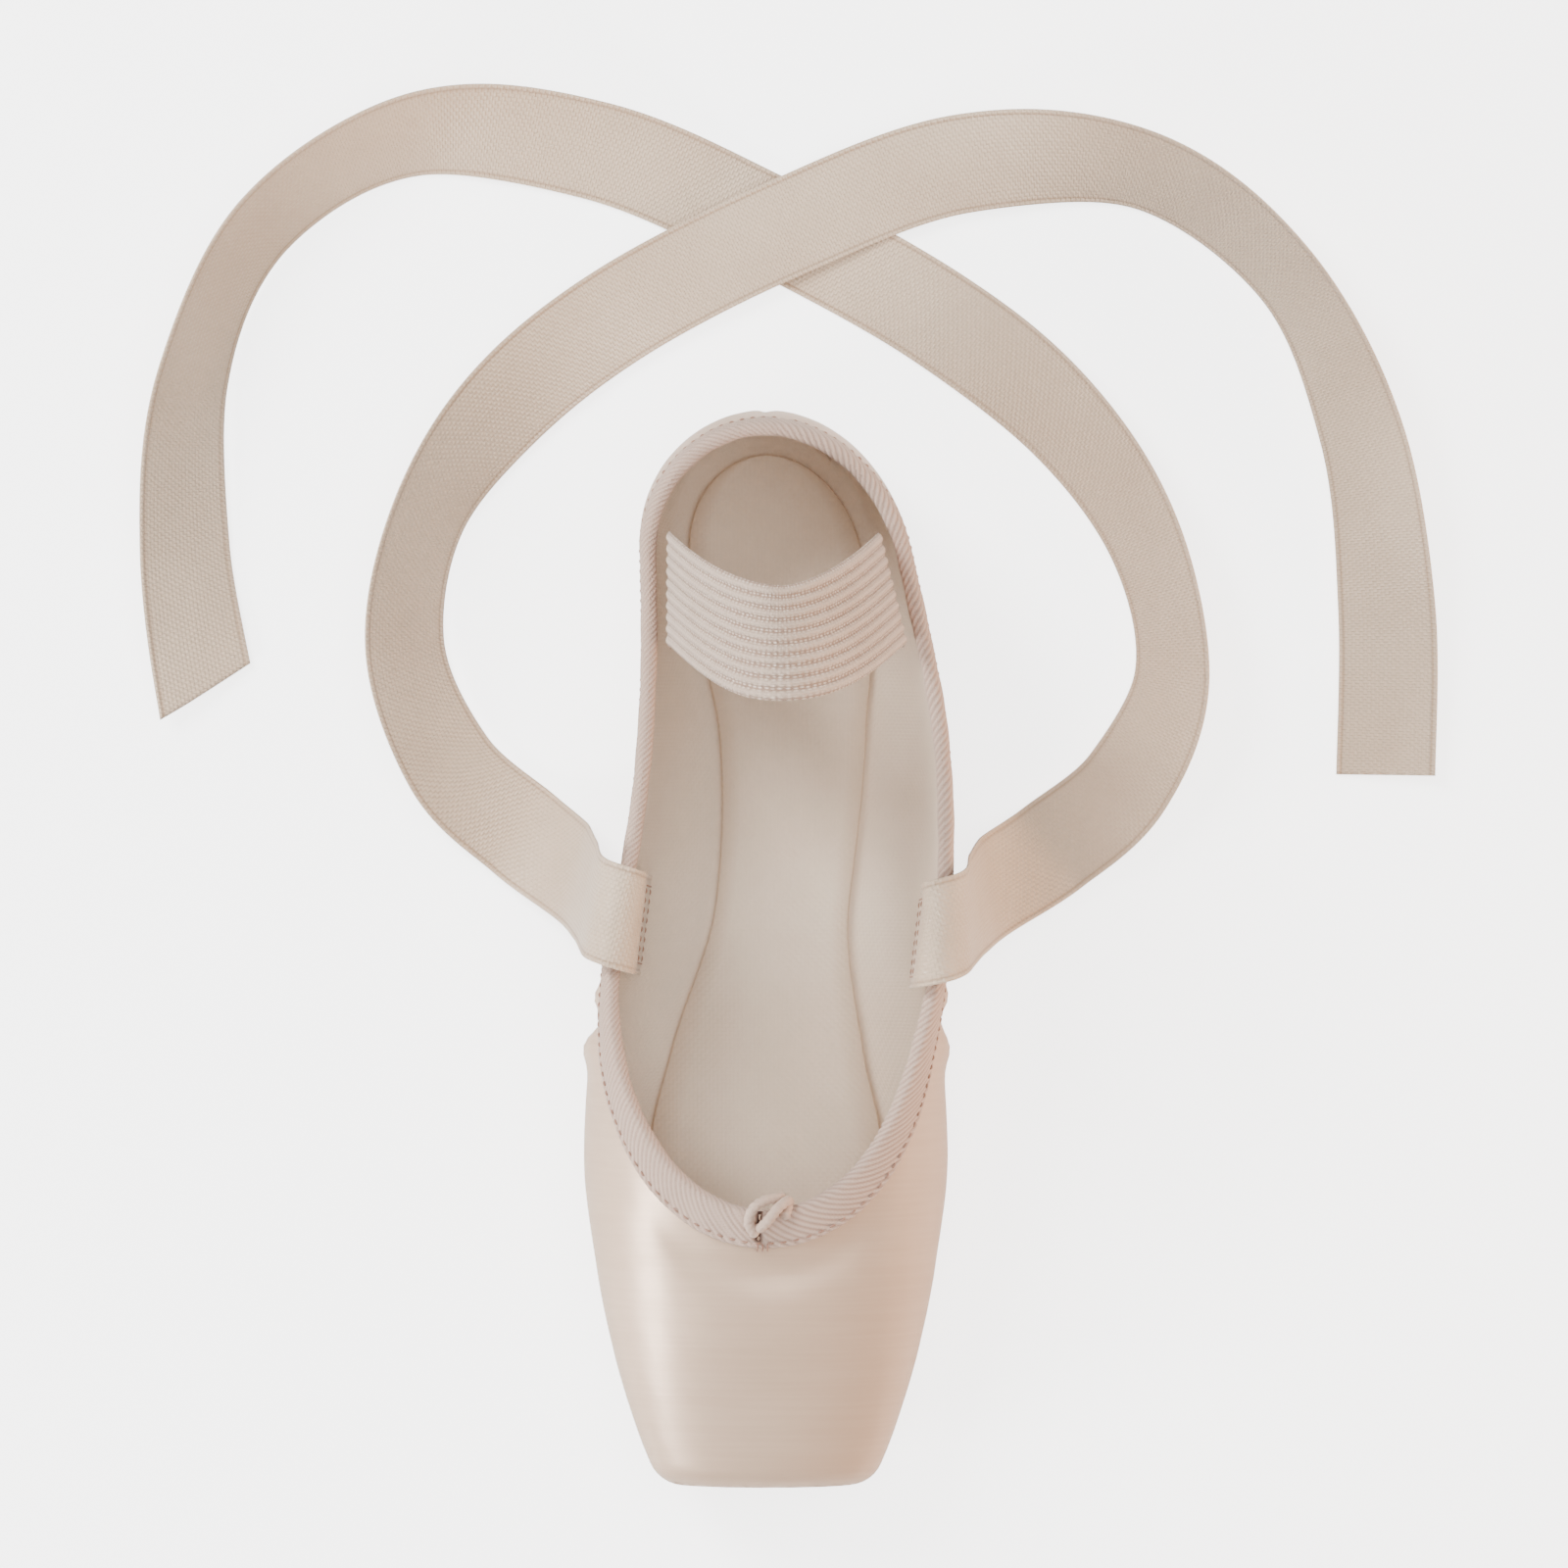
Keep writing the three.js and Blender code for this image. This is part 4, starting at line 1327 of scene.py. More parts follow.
@dataclass
class Binding:
    """Drawstring casing over the topline, with its rows of stitches."""

    skin: Skin
    width: float = 7.0
    taper: float = 0.2
    rib_pitch: float = 1.75
    rib_height: float = 0.15
    rib_slant: float = 1.05
    step: float = 0.27
    across_step: float = 0.34
    stitch_pitch: float = 2.2

    def frames(self, depth: float, along: np.ndarray, want: np.ndarray) -> tuple[np.ndarray, np.ndarray]:
        """Follows the topline at one depth, finely spaced.

        Args:
            depth: Distance below the topline.
            along: The columns' distances.
            want: The fine distances.

        Returns:
            Points and normals.
        """
        spots, outward = self.skin.at_depth(depth)
        loop = np.concatenate([spots, spots[:1]])
        turn = np.concatenate([outward, outward[:1]])
        return resample(along, loop, want), unit(resample(along, turn, want))

    def edge(self) -> tuple[np.ndarray, np.ndarray, np.ndarray]:
        """Measures the topline.

        Returns:
            The columns' distances along it, the fine distances, and these counted from the throat.
        """
        top = self.skin.points[:, -1]
        along = run_length(np.concatenate([top, top[:1]]))
        want = np.linspace(0, along[-1], int(along[-1] / self.step), endpoint=False)
        throat = along[int(np.argmin(top[:, 1]))]
        return along, want, want - throat

    def width_at(self, way: np.ndarray) -> np.ndarray:
        """Returns the casing's width, which narrows away from the throat."""
        return self.width * (1 - self.taper * smooth_step(35, 75, np.abs(way)))

    def section(self) -> tuple[np.ndarray, np.ndarray]:
        """Returns the casing's section and how far each of its points shows.

        Returns:
            Rows of depth below the edge (as a share of the width for the outer leg), height above the edge
            and offset from the skin, and for each row 1 where the tape shows and 0 where it is tucked in.
        """
        shown = [(1.06, 0.0, 0.1), (1.07, 0.0, 0.45), (1.02, 0.0, 0.78), (0.96, 0.0, 0.72), (0.9, 0.0, 0.6)]
        shown += [(0.82, 0.0, 0.72), (0.6, 0.0, 0.98), (0.35, 0.0, 1.1), (0.1, 0.0, 0.95), (0.0, 0.35, 0.7)]
        shown += [(0.0, 0.75, 0.2), (0.0, 0.85, -0.6), (0.0, 0.7, -1.5), (0.0, 0.3, -1.95)]
        shown += [(0.12, 0.0, -2.15), (0.4, 0.0, -2.2), (0.7, 0.0, -2.3), (0.84, 0.0, -2.25)]
        hidden = [(0.84, 0.0, -1.7), (0.5, 0.0, -1.5), (0.1, 0.0, -1.1), (0.1, 0.0, -0.2), (0.5, 0.0, 0.05)]
        line = np.array(shown)
        run = run_length(line * [self.width, 1.0, 1.0])
        fine = resample(run, line, np.linspace(0, run[-1], int(run[-1] / self.across_step)))
        rows = np.concatenate([fine, np.array(hidden)])
        return rows, np.concatenate([np.ones(len(fine)), np.zeros(len(hidden))])

    def build(self, finishes: Finishes) -> list[bpy.types.Object]:
        """Makes the binding and its stitches.

        Args:
            finishes: The shoe's materials.

        Returns:
            The pieces.
        """
        along, want, way = self.edge()
        rows, shown = self.section()
        upwards = self._upwards(along, want)
        across = run_length(rows * [self.width, 1.0, 1.0])
        levels = np.linspace(0, self.width * 1.1, 12)
        spots, turns = zip(*(self.frames(depth, along, want) for depth in levels))
        spots, turns = np.stack(spots), np.stack(turns)
        right = smooth_step(-25, 15, way)
        width = self.width_at(way)
        phase = (want[:, None] + self.rib_slant * across[None]) / self.rib_pitch
        phase = phase + 0.12 * np.sin(want * 0.31)[:, None]
        coarse = np.sin(2 * math.pi * phase)
        fine = np.sin(2.6 * math.pi * phase)
        wave = (coarse * right[:, None] + 0.95 * fine * (1 - right)[:, None]) * shown
        # The slit where the drawstring comes out is pressed 1 mm in, and its mask has the finish paint it
        # dark as the shade inside the opening.
        slit = np.exp(-(((way + 1.2) / 0.7) ** 2))[:, None] * smooth_step(0.95, 0.8, rows[:, 0])
        slit = slit * (rows[:, 2] > 0)
        gather = 0.1 * np.sin(want * 0.47 + 1.3) * np.sin(want * 0.19)
        level = np.clip(rows[None, :, 0] * width[:, None] / levels[1], 0, len(levels) - 1.001)
        low = level.astype(int)
        share = (level - low)[..., None]
        ring = np.arange(len(want))[:, None]
        spot = spots[low, ring] * (1 - share) + spots[low + 1, ring] * share
        turn = unit(turns[low, ring] * (1 - share) + turns[low + 1, ring] * share)
        outer = np.where(rows[:, 2] > -0.7, 1.0, -1.0)
        offset = rows[None, :, 2] + outer * (self.rib_height * wave + gather[:, None] * shown) - 1.0 * slit
        lift = rows[None, :, 1] + self.rib_height * wave * (rows[None, :, 1] > 0)
        points = spot + turn * offset[..., None] + upwards[:, None] * lift[..., None]
        cloth = np.stack(np.broadcast_arrays(want[:, None], across[None]), -1)
        # The valley mask marks the low ground between the ribs, which the tape's finish darkens as painted
        # shade.
        valley = np.clip(0.5 - 0.75 * wave, 0, 1) ** 1.5 * shown
        masks = {"valley": valley, "slit": np.clip(slit * 1.3, 0, 1)}
        grid = Grid(points, around=True, cloth=cloth, masks=masks)
        tape = seat(grid.to_object("collar_casing", [finishes.tape]), Slot.TAPE, "collar_binding")
        return [tape, self.topstitch(finishes, along, want, way)]

    def _upwards(self, along: np.ndarray, want: np.ndarray) -> np.ndarray:
        """Finds the direction up over the edge.

        Args:
            along: The columns' distances.
            want: The fine distances.

        Returns:
            A direction for each fine distance.
        """
        top, _ = self.frames(0.0, along, want)
        low, _ = self.frames(1.5, along, want)
        return unit(top - low)

    def topstitch(
        self, finishes: Finishes, along: np.ndarray, want: np.ndarray, way: np.ndarray
    ) -> bpy.types.Object:
        """Makes the row of stitches that holds the casing down, and the tack below the slit.

        Args:
            finishes: The shoe's materials.
            along: The columns' distances.
            want: The fine distances.
            way: The fine distances from the throat.

        Returns:
            The piece.
        """
        width = self.width_at(way)
        near, normal = self.frames(self.width * 0.9, along, want)
        far, _ = self.frames(self.width * 0.72, along, want)
        share = ((self.width - width) / (self.width * self.taper))[:, None]
        spot = near + (far - near) * share + normal * 0.62
        skip = max(int(self.stitch_pitch / self.step), 2)
        ends = []
        for i in range(0, len(spot) - skip, skip):
            j = i + int(skip * 0.6)
            ends.append((spot[i], spot[j], normal[i]))
        low, out = self.frames(self.width + 1.4, along, want)
        centre = int(np.argmin(np.abs(way + 0.6)))
        for shift in (-3, 0, 3):
            a = low[centre + shift] + out[centre] * 0.3
            b = spot[centre + shift] + out[centre] * 0.2
            ends.append((a, b, out[centre]))
        return seat(stitches_object("casing_topstitch", ends, 0.25, finishes.thread), Slot.TAPE)


@dataclass
class FootPlate:
    """A flat piece that follows the last's underside, with rounded edges."""

    last: Last
    start: float
    end: float
    lift: float
    thickness: float
    bevel: float
    rings: int = 150
    places: int = 9

    def half(self, station: np.ndarray) -> np.ndarray:
        """Returns half the plate's width at each station."""
        raise NotImplementedError

    def ends(self, station: np.ndarray) -> np.ndarray:
        """Returns the factor that rounds the plate's two ends."""
        reach = self.last.plate_round
        return rounded_end(self.end, reach, station) * rounded_end(-self.start, reach, -station)

    def grid(self) -> Grid:
        """Lays the plate out.

        Returns:
            Its net of points.
        """
        share = np.linspace(0, 1, self.rings)
        eased = 0.35 * share + 0.65 * (1 - np.cos(math.pi * share)) / 2
        station = self.start + (self.end - self.start) * eased
        half = np.maximum(self.half(station), 0.4)
        low = self.last.underside(station) + self.lift
        across = np.linspace(-1, 1, self.places)
        b, t = self.bevel, self.thickness
        ring: list[tuple[np.ndarray, np.ndarray]] = []
        ring += [(a * np.maximum(half - b, 0.2), np.zeros_like(half)) for a in across]
        ring += [(half - b * 0.3, np.full_like(half, b * 0.35)), (half, np.full_like(half, t * 0.5))]
        ring += [(half - b * 0.3, np.full_like(half, t - b * 0.25))]
        ring += [(a * np.maximum(half - b * 0.8, 0.2), np.full_like(half, t)) for a in across[::-1]]
        ring += [(-half + b * 0.3, np.full_like(half, t - b * 0.25)), (-half, np.full_like(half, t * 0.5))]
        ring += [(-half + b * 0.3, np.full_like(half, b * 0.35))]
        middle = self.last.middle(station)
        y = station - self.last.length / 2
        points = np.stack([np.stack([middle + x, y, low + z], -1) for x, z in ring], 1)
        cloth = np.stack([points[..., 1], points[..., 0]], -1)
        # The mask marks the outer edge of each plate: real wear on the leather outsole, and the sock insole
        # darker towards its edges.
        wear_and_shade = np.abs(points[..., 0] - middle[:, None]) / half[:, None]
        return Grid(points, cloth=cloth, masks={"wear_and_shade": smooth_step(0.75, 1.0, wear_and_shade)})


@dataclass
class Outsole(FootPlate):
    """Leather outsole."""

    def half(self, station: np.ndarray) -> np.ndarray:
        """Returns half the outsole's width at each station."""
        return self.last.outsole(station) * self.ends(station)

    def build(self, finishes: Finishes) -> bpy.types.Object:
        """Makes the outsole."""
        return seat(self.grid().to_object("leather_outsole", [finishes.leather]), Slot.SOLE, "outsole")


@dataclass
class Insole(FootPlate):
    """Insole with its cotton sock."""

    inset: float = 1.2

    def half(self, station: np.ndarray) -> np.ndarray:
        """Returns half the insole's width at each station."""
        return (self.last.seat(station) - self.inset) * self.ends(station)

    def build(self, finishes: Finishes) -> bpy.types.Object:
        """Makes the insole."""
        return seat(self.grid().to_object("sock_insole", [finishes.sock]), Slot.LINING, "insole")


def strip_frames(path: np.ndarray, widthways: np.ndarray) -> tuple[np.ndarray, np.ndarray]:
    """Turns a frame along a strip.

    Args:
        path: The strip's middle line.
        widthways: Rough direction of its width along the path.

    Returns:
        The directions across and through the strip.
    """
    along = unit(np.gradient(path, axis=0))
    across = unit(widthways - along * np.einsum("ij,ij->i", widthways, along)[:, None])
    return across, np.cross(along, across)


@dataclass
class AnkleElastic:
    """Ribbed elastic strap, standing over the heel as it is worn."""

    last: Last
    width: float = 25.0
    thickness: float = 1.2
    station: float = 196.0
    sewn_from: float = 26.0
    rise: float = 62.0
    lean: float = 13.0
    wall: float = 2.0
    casing: float = 1.8
    gap: float = 0.3
    ridges: int = 10
    ridge_height: float = 0.42
    places: int = 81
    steps: int = 170
    sewn_steps: int = 24

    def wall_at(self, station: float, side: Side) -> float:
        """Finds the strap's place beside the casing.

        Args:
            station: The station.
            side: The side of the shoe.

        Returns:
            The sideways place of the strap's middle.
        """
        at = np.array(station)
        clear = self.wall + self.casing + self.gap + self.thickness / 2
        half = self.last.half_width_at(at, self.last.topline(at))
        return float(self.last.middle(at) + side.value * (half - clear))

    def route(self) -> tuple[np.ndarray, np.ndarray]:
        """Lays the strap's course out.

        Returns:
            The middle line and the direction of the width along it.
        """
        front, back = self.station - self.width / 2, self.station + self.width / 2
        start = float(self.last.topline(np.array(back))) + 2
        foot = {s: (self.wall_at(front, s) + self.wall_at(back, s)) / 2 for s in Side}
        drift = {s: self.wall_at(back, s) - self.wall_at(front, s) for s in Side}
        along = {s: unit(np.array([drift[s], self.width, 0.0])) for s in Side}
        y = self.station - self.last.length / 2
        centre = (foot[Side.INNER] + foot[Side.OUTER]) / 2
        half = (foot[Side.INNER] - foot[Side.OUTER]) / 2
        n = self.sewn_steps
        sewn = np.linspace(self.sewn_from, start, n, endpoint=False)
        angle = np.linspace(0, math.pi, self.steps)
        up = np.sin(angle)
        arch = np.stack([centre - half * np.cos(angle), y - self.lean * up**2, start + self.rise * up], -1)
        left = np.stack([np.full(n, foot[Side.OUTER]), np.full(n, y), sewn], -1)
        right = np.stack([np.full(n, foot[Side.INNER]), np.full(n, y), sewn[::-1]], -1)
        share = np.concatenate([np.zeros(n), angle / math.pi, np.ones(n)])[:, None]
        widthways = along[Side.OUTER] * (1 - share) + along[Side.INNER] * share
        return np.concatenate([left, arch, right]), widthways

    def build(self, finishes: Finishes) -> list[bpy.types.Object]:
        """Makes the strap and the stitches at its ends.

        Args:
            finishes: The shoe's materials.

        Returns:
            The pieces.
        """
        path, widthways = self.route()
        across, through = strip_frames(path, widthways)
        v = np.linspace(-1, 1, self.places)
        wave = 0.5 + 0.5 * np.cos(math.pi * (v + 1) * self.ridges + math.pi)
        profile = self.thickness / 2 - self.ridge_height * (1 - wave) ** 1.6
        profile = np.maximum(profile * np.where(np.abs(v) > 0.985, 0.6, 1.0), 0.08)
        offsets = np.concatenate([np.stack([v, profile], -1), np.stack([v[::-1], -profile[::-1]], -1)])
        narrow = 1 - 0.05 * np.sin(np.linspace(0, math.pi, len(path)))
        points = (
            path[:, None]
            + across[:, None] * (offsets[None, :, :1] * self.width / 2 * narrow[:, None, None])
            + through[:, None] * offsets[None, :, 1:]
        )
        along = run_length(path)
        cloth = np.stack(np.broadcast_arrays(along[:, None], (offsets[:, 0] * self.width / 2)[None]), -1)
        # The valley mask marks the ground between the ridges, where the finish paints the knit's openings
        # dark as shade and its glints bright as highlights.
        valley = np.tile(np.concatenate([1 - wave, (1 - wave)[::-1]]), (len(path), 1))
        grid = Grid(points, cloth=cloth, masks={"valley": valley})
        strap = grid.to_object("ribbed_ankle_elastic", [finishes.elastic])
        seat(strap, Slot.ELASTIC, "ankle_elastic")
        return [strap, self.end_stitches(finishes, path, across, through)]

    def end_stitches(
        self, finishes: Finishes, path: np.ndarray, across: np.ndarray, through: np.ndarray
    ) -> bpy.types.Object:
        """Makes the rows of hand stitches across the sewn ends.

        Args:
            finishes: The shoe's materials.
            path: The middle line.
            across: Directions across it.
            through: Directions through it.

        Returns:
            The piece.
        """
        ends = []
        for row in (3, 12, len(path) - 13, len(path) - 4):
            face = through[row] * np.sign(through[row][0] * (3.0 - path[row][0]))
            for k in range(9):
                a = path[row] + across[row] * (-10.5 + 2.5 * k) + face * 0.5
                b = a + across[row] * 1.6 + np.array([0.0, 0.0, 0.5])
                ends.append((a, b, face))
        return seat(stitches_object("elastic_end_stitches", ends, 0.28, finishes.thread), Slot.ELASTIC)


RIBBON_INNER = (
    (33, 2, 23, -7, 0), (33.2, 2.5, 37, -7, 0), (33.9, 3, 45.6, -7, 0), (38.4, 4.5, 48.2, -5, 0),
    (43.6, 6.5, 43.8, 0, 0), (46.6, 10, 28, 8, 0), (51.5, 14, 11, 16, 0), (64, 22, 1.6, 28, -4),
    (80, 36, 0.6, 46, -22), (90, 60, 0.6, 82, -44), (84, 90, 0.6, 112, -46), (66, 117, 0.6, 133, -26),
    (38, 140, 0.5, 146, -5), (0, 161, 0.5, 154, 0), (-38, 177, 0.6, 163, -8), (-78, 180, 0.6, 193, -40),
    (-111, 160, 0.6, 229, -56), (-127, 126, 0.6, 257, -50), (-129, 88, 0.6, 272, -30),
    (-124, 52, 0.6, 280, -8),
)
RIBBON_OUTER = (
    (-26.5, 5, 23, 173, 0), (-27, 5.5, 37, 173.5, 0), (-27.7, 6, 45.4, 173.5, 0), (-32.3, 7.5, 48, 173, 0),
    (-37.2, 9.5, 43.6, 171, 0), (-39.6, 13, 28, 168, 0), (-43.5, 17, 11, 163, 0), (-54, 25, 1.6, 151, 4),
    (-70, 40, 0.6, 130, 22), (-80, 66, 0.6, 96, 42), (-75, 95, 0.6, 68, 44), (-58, 120, 0.6, 46, 24),
    (-32, 141, 1.9, 34, 5), (5, 160, 2.4, 25, 0), (44, 174, 1.7, 13, 10), (84, 172, 0.6, -18, 44),
    (115, 149, 0.6, -52, 52), (132, 114, 0.6, -76, 40), (138, 75, 0.6, -86, 18), (138, 38, 0.6, -92, 6),
)


@dataclass
class Ribbon:
    """Satin ribbon, sewn inside the waist and laid along the floor.

    Attributes:
        name: The piece's name.
        node: The CAD node that it stands for.
        rows: Points of its middle line: place, height of the lower edge, heading and tip in degrees.
        slant: How far the cut end runs back across the width.
    """

    name: str
    node: str
    rows: tuple[tuple[float, ...], ...]
    slant: float
    width: float = 22.0
    solid: float = 0.8
    thickness: float = 0.36
    places: int = 41
    selvedge: float = 0.16
    step: float = 1.1
    cut_reach: float = 24.0
    ripple: float = 0.28
    clearance: float = 0.12

    def route(self) -> tuple[np.ndarray, np.ndarray]:
        """Lays the ribbon's course out, evenly spaced.

        Returns:
            The middle line and the direction of the width along it.
        """
        fine = smooth_path(np.array(self.rows, float), 24)
        x, y, lift, heading, tip = fine.T
        turn, rise = np.radians(heading), np.radians(tip)
        z = lift + self.width / 2 * np.abs(np.sin(rise)) + self.solid / 2
        path = np.stack([x, y, z], -1)
        widthways = np.stack([-np.sin(turn) * np.cos(rise), np.cos(turn) * np.cos(rise), np.sin(rise)], -1)
        along = run_length(path)
        want = np.linspace(0, along[-1], int(along[-1] / self.step))
        return resample(along, path, want), resample(along, widthways, want)

    def build(self, finishes: Finishes) -> list[bpy.types.Object]:
        """Makes the ribbon and the stitches of its sewn end.

        Args:
            finishes: The shoe's materials.

        Returns:
            The pieces.
        """
        path, widthways = self.route()
        across, through = strip_frames(path, widthways)
        along = run_length(path)
        even = np.linspace(-1, 1, self.places)
        v = np.sign(even) * (1 - (1 - np.abs(even)) ** 1.7)
        groove = np.exp(-(((np.abs(v) - 0.905) / 0.028) ** 2))
        cord = np.exp(-(((np.abs(v) - 0.96) / 0.035) ** 2))
        profile = self.thickness / 2 + self.selvedge * (cord - 0.5 * groove)
        ring_v = np.concatenate([v, v[::-1]])
        ring_n = np.concatenate([profile, -profile[::-1]])
        near_end = smooth_step(along[-1] - self.cut_reach, along[-1], along)
        shifted = along[:, None] - (self.slant * (1 + ring_v) / 2)[None] * near_end[:, None]
        spot = resample(along, path, shifted)
        side = resample(along, across, shifted)
        out = resample(along, through, shifted)
        ripple = self.ripple * np.sin(shifted * 0.11 + 1.7 * np.sign(ring_v)) * ring_v**2
        ripple = ripple * smooth_step(95, 130, shifted)
        points = spot + side * (ring_v * self.width / 2)[None, :, None]
        points = points + out * (ring_n[None] + ripple)[..., None]
        points[..., 2] = np.maximum(points[..., 2], self.clearance)
        cloth = np.stack(np.broadcast_arrays(shifted, (ring_v * self.width / 2)[None]), -1)
        # Painted shade: the grooves inside each selvedge are marked to be darkened.
        wear_and_shade = np.tile(np.concatenate([groove, groove[::-1]]), (len(path), 1))
        piece = Grid(points, cloth=cloth, masks={"wear_and_shade": wear_and_shade}).to_object(self.name, [finishes.ribbon])
        seat(piece, Slot.RIBBON, self.node)
        tacks = self.end_stitches(finishes, path, across, through)
        top = path[int(np.argmax(path[:, 2]))] * MM
        log.info("%s: %.0f mm long, highest at %s", self.name, along[-1], np.round(top, 3).tolist())
        return [piece, tacks]

    def end_stitches(
        self, finishes: Finishes, path: np.ndarray, across: np.ndarray, through: np.ndarray
    ) -> bpy.types.Object:
        """Makes the stitches round the sewn end.

        Args:
            finishes: The shoe's materials.
            path: The middle line.
            across: Directions across it.
            through: Directions through it.

        Returns:
            The piece.
        """
        ends = []
        for row in range(1, 15, 2):
            face = through[row] * np.sign(-through[row][0] * path[row][0])
            for edge in (-8.5, 8.5):
                a = path[row] + across[row] * edge + face * 0.16
                ends.append((a, path[row + 1] + across[row] * edge + face * 0.16, face))
        for row in (1, 14):
            face = through[row] * np.sign(-through[row][0] * path[row][0])
            for k in range(8):
                a = path[row] + across[row] * (-8 + 2.1 * k) + face * 0.16
                ends.append((a, a + across[row] * 1.4, face))
        return seat(stitches_object(self.name + "_stitches", ends, 0.2, finishes.thread), Slot.RIBBON)


@dataclass
class DrawstringKnot:
    """The drawstring's tied loops at the middle of the throat."""

    skin: Skin
    diameter: float = 2.2
    sides: int = 14
    steps: int = 14
    loops: tuple[tuple[tuple[float, float, float], ...], ...] = (
        (
            (-2.2, -3.6, 2.6), (-3.6, -0.6, 3.3), (-2.6, 2.6, 3.2),
            (0.2, 4.1, 2.0), (2.6, 3.9, 0.3), (3.4, 3.2, -2.2),
        ),
        (
            (-1.4, -2.2, 3.0), (0.6, 0.2, 3.9), (2.4, 2.4, 3.5),
            (4.4, 3.6, 1.6), (5.0, 2.4, -0.6), (4.2, 0.6, 2.6),
        ),
    )

    def build(self, finishes: Finishes) -> bpy.types.Object:
        """Makes the loops as one twisted cord piece.

        Args:
            finishes: The shoe's materials.

        Returns:
            The piece.
        """
        column = int(np.argmin(self.skin.points[:, -1, 1]))
        edge = self.skin.points[column, -1]
        normal = self.skin.normals[column, -1]
        up = unit(edge - self.skin.points[column, -3])
        sideways = np.array([1.0, 0.0, 0.0])
        parts = []
        for rows in self.loops:
            spots = np.array([edge + sideways * s + up * u + normal * o for s, u, o in rows])
            path = smooth_path(spots, self.steps)
            along = run_length(path)
            rings = tube_rings(path, self.diameter / 2, self.sides)
            angle = np.linspace(0, 2 * math.pi, self.sides, endpoint=False)
            twist = 0.09 * np.cos(3 * (angle[None] - along[:, None] * 1.5))
            rings = path[:, None] + (rings - path[:, None]) * (1 + twist[..., None])
            cloth = np.stack(np.broadcast_arrays(along[:, None], angle[None] * self.diameter / 2), -1)
            parts.append(Grid(rings, cloth=cloth).to_object("cord_loop", [finishes.cord]))
        with bpy.context.temp_override(active_object=parts[0], selected_editable_objects=parts):
            bpy.ops.object.join()
        parts[0].name = "drawstring_loops"
        return seat(parts[0], Slot.CORD, "drawstring_knot")


# Stage


@dataclass(frozen=True)
class SoftLight:
    """One light of the studio: a soft box, or a narrow spot where a cone is given."""

    name: str
    place: tuple[float, float, float]
    target: tuple[float, float, float]
    size: tuple[float, float]
    power: float
    colour: tuple[float, float, float] = (1.0, 1.0, 1.0)
    glossy: bool = True
    cone: float = 0.0

    def build(self) -> bpy.types.Object:
        """Makes the light and aims it at its target.

        Returns:
            The light.
        """
        lamp = bpy.data.lights.new(self.name, "SPOT" if self.cone else "AREA")
        if self.cone:
            lamp.spot_size = self.cone
            lamp.spot_blend = 1.0
            lamp.shadow_soft_size = self.size[0] / 2
        else:
            lamp.shape = "RECTANGLE"
            lamp.size, lamp.size_y = self.size
        lamp.energy = self.power
        lamp.color = self.colour
        holder = bpy.data.objects.new(self.name, lamp)
        holder.location = self.place
        holder.visible_glossy = self.glossy
        aim = Vector(self.target) - Vector(self.place)
        holder.rotation_euler = aim.to_track_quat("-Z", "Y").to_euler()
        bpy.context.scene.collection.objects.link(holder)
        return holder


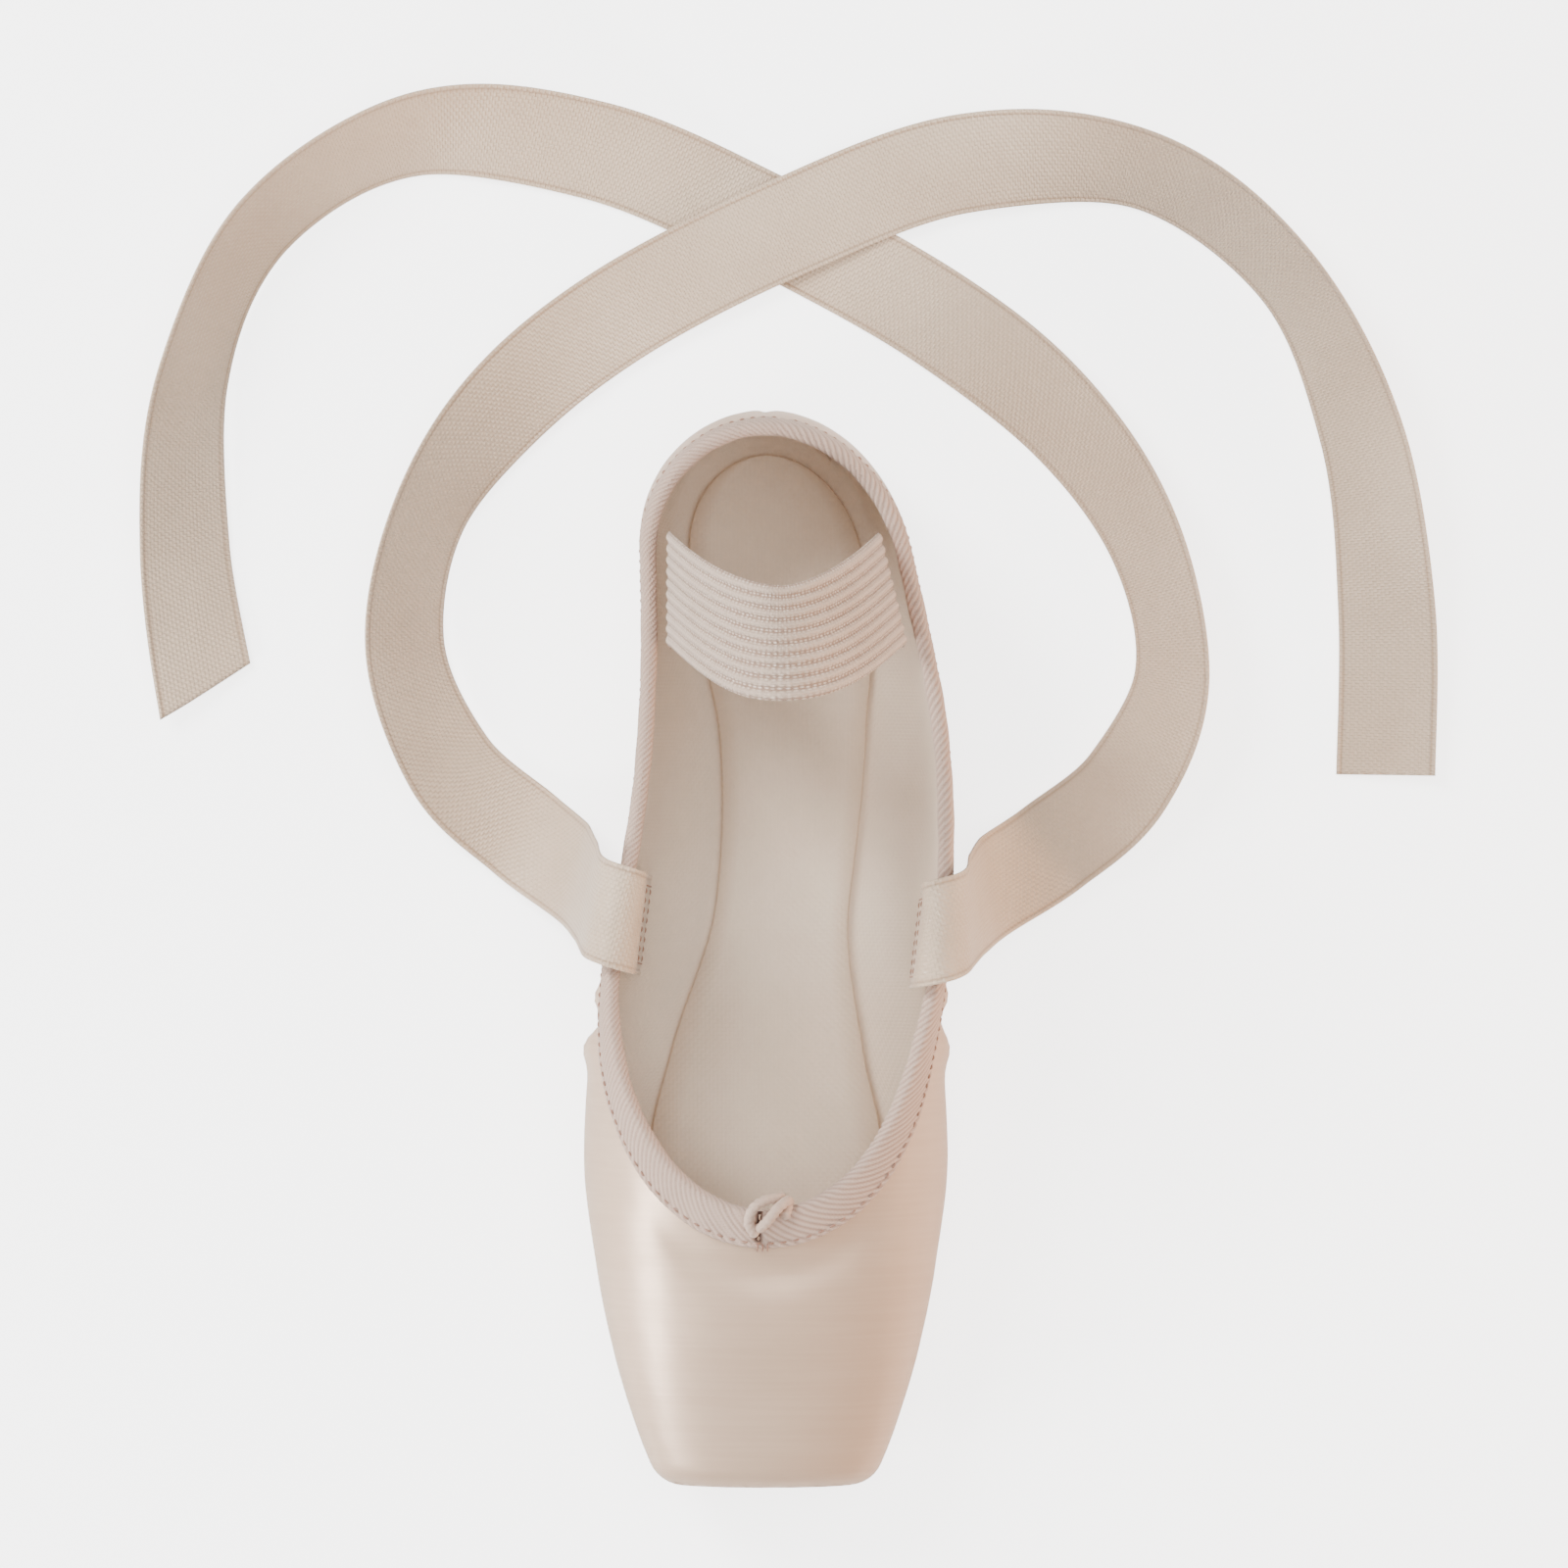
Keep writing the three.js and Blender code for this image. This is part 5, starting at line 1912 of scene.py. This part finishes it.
@dataclass
class Studio:
    """Pale floor, soft light and the camera straight above the shoe."""

    centre: tuple[float, float] = (0.004, 0.036)
    height: float = 1.5
    view_width: float = 0.345
    subject_height: float = 0.02
    sensor: float = 36.0
    floor_reach: float = 4.0
    floor_drop: float = 0.0002
    glow: float = 3.2
    sky: float = 0.4
    lights: tuple[SoftLight, ...] = (
        SoftLight("key", (-0.7, 0.75, 0.95), (0.0, -0.02, 0.02), (0.4, 0.7), 22.0),
        SoftLight("streak", (-0.69, -0.38, 0.28), (-0.03, -0.04, 0.04), (0.3, 0.16), 7.0),
        SoftLight("glint", (-0.66, -0.4, 0.22), (-0.026, -0.037, 0.045), (0.1, 0.1), 26.0, cone=0.062),
        SoftLight(
            "warm_rim",
            (0.7, -0.1, 0.1),
            (0.0, -0.05, 0.02),
            (0.6, 0.12),
            7.0,
            colour=(1.0, 0.66, 0.42),
            glossy=False,
        ),
        SoftLight("overhead", (0.25, 0.1, 1.7), (0.0, 0.02, 0.0), (1.2, 1.2), 22.0),
    )

    def build(self) -> None:
        """Makes the floor, the lights, the sky and the camera."""
        self._floor()
        for light in self.lights:
            light.build()
        world = bpy.data.worlds.new("studio")
        world.use_nodes = True
        world.node_tree.nodes["Background"].inputs[0].default_value = (1.0, 0.99, 0.98, 1.0)
        world.node_tree.nodes["Background"].inputs[1].default_value = self.sky
        bpy.context.scene.world = world
        lens = bpy.data.cameras.new("camera")
        lens.sensor_width = self.sensor
        lens.lens = self.sensor * (self.height - self.subject_height) / self.view_width
        lens.dof.use_dof = False
        lens.clip_end = 50.0
        camera = bpy.data.objects.new("camera", lens)
        camera.location = (self.centre[0], self.centre[1], self.height)
        bpy.context.scene.collection.objects.link(camera)
        bpy.context.scene.camera = camera

    def _floor(self) -> None:
        """Makes the plain pale floor, which isn't part of the shoe."""
        mesh = bpy.data.meshes.new("floor")
        r, low = self.floor_reach, -self.floor_drop
        mesh.from_pydata([(-r, -r, low), (r, -r, low), (r, r, low), (-r, r, low)], [], [(0, 1, 2, 3)])
        material, g, shader = start_material("studio_floor")
        shader.inputs["Base Color"].default_value = (0.9, 0.895, 0.89, 1.0)
        shader.inputs["Roughness"].default_value = 0.35
        seen = g.node("ShaderNodeLightPath").outputs["Is Camera Ray"]
        g.link(shader, Emission_Color=seen)
        shader.inputs["Emission Strength"].default_value = self.glow
        mesh.materials.append(material)
        floor = bpy.data.objects.new("floor", mesh)
        bpy.context.scene.collection.objects.link(floor)


def main() -> None:
    """Builds the shoe's pieces in order and reports each one."""
    logging.basicConfig(level=logging.INFO, format="%(name)s %(message)s")
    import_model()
    Studio().build()
    finishes = make_finishes()
    last = Last()
    Ribbon("inner_ribbon", "ribbon_inner", RIBBON_INNER, 9.0).build(finishes)
    Ribbon("outer_ribbon", "ribbon_outer", RIBBON_OUTER, -9.0).build(finishes)
    skin = Skin(last, toe=70, sides=62, heel=40, rows=112)
    Upper(skin).build(finishes)
    Binding(skin).build(finishes)
    Outsole(last, start=17.0, end=229.0, lift=-3.5, thickness=3.2, bevel=1.2).build(finishes)
    Insole(last, start=14.0, end=227.0, lift=2.3, thickness=1.8, bevel=0.6).build(finishes)
    AnkleElastic(last).build(finishes)
    DrawstringKnot(skin).build(finishes)


if __name__ == "__main__":
    main()
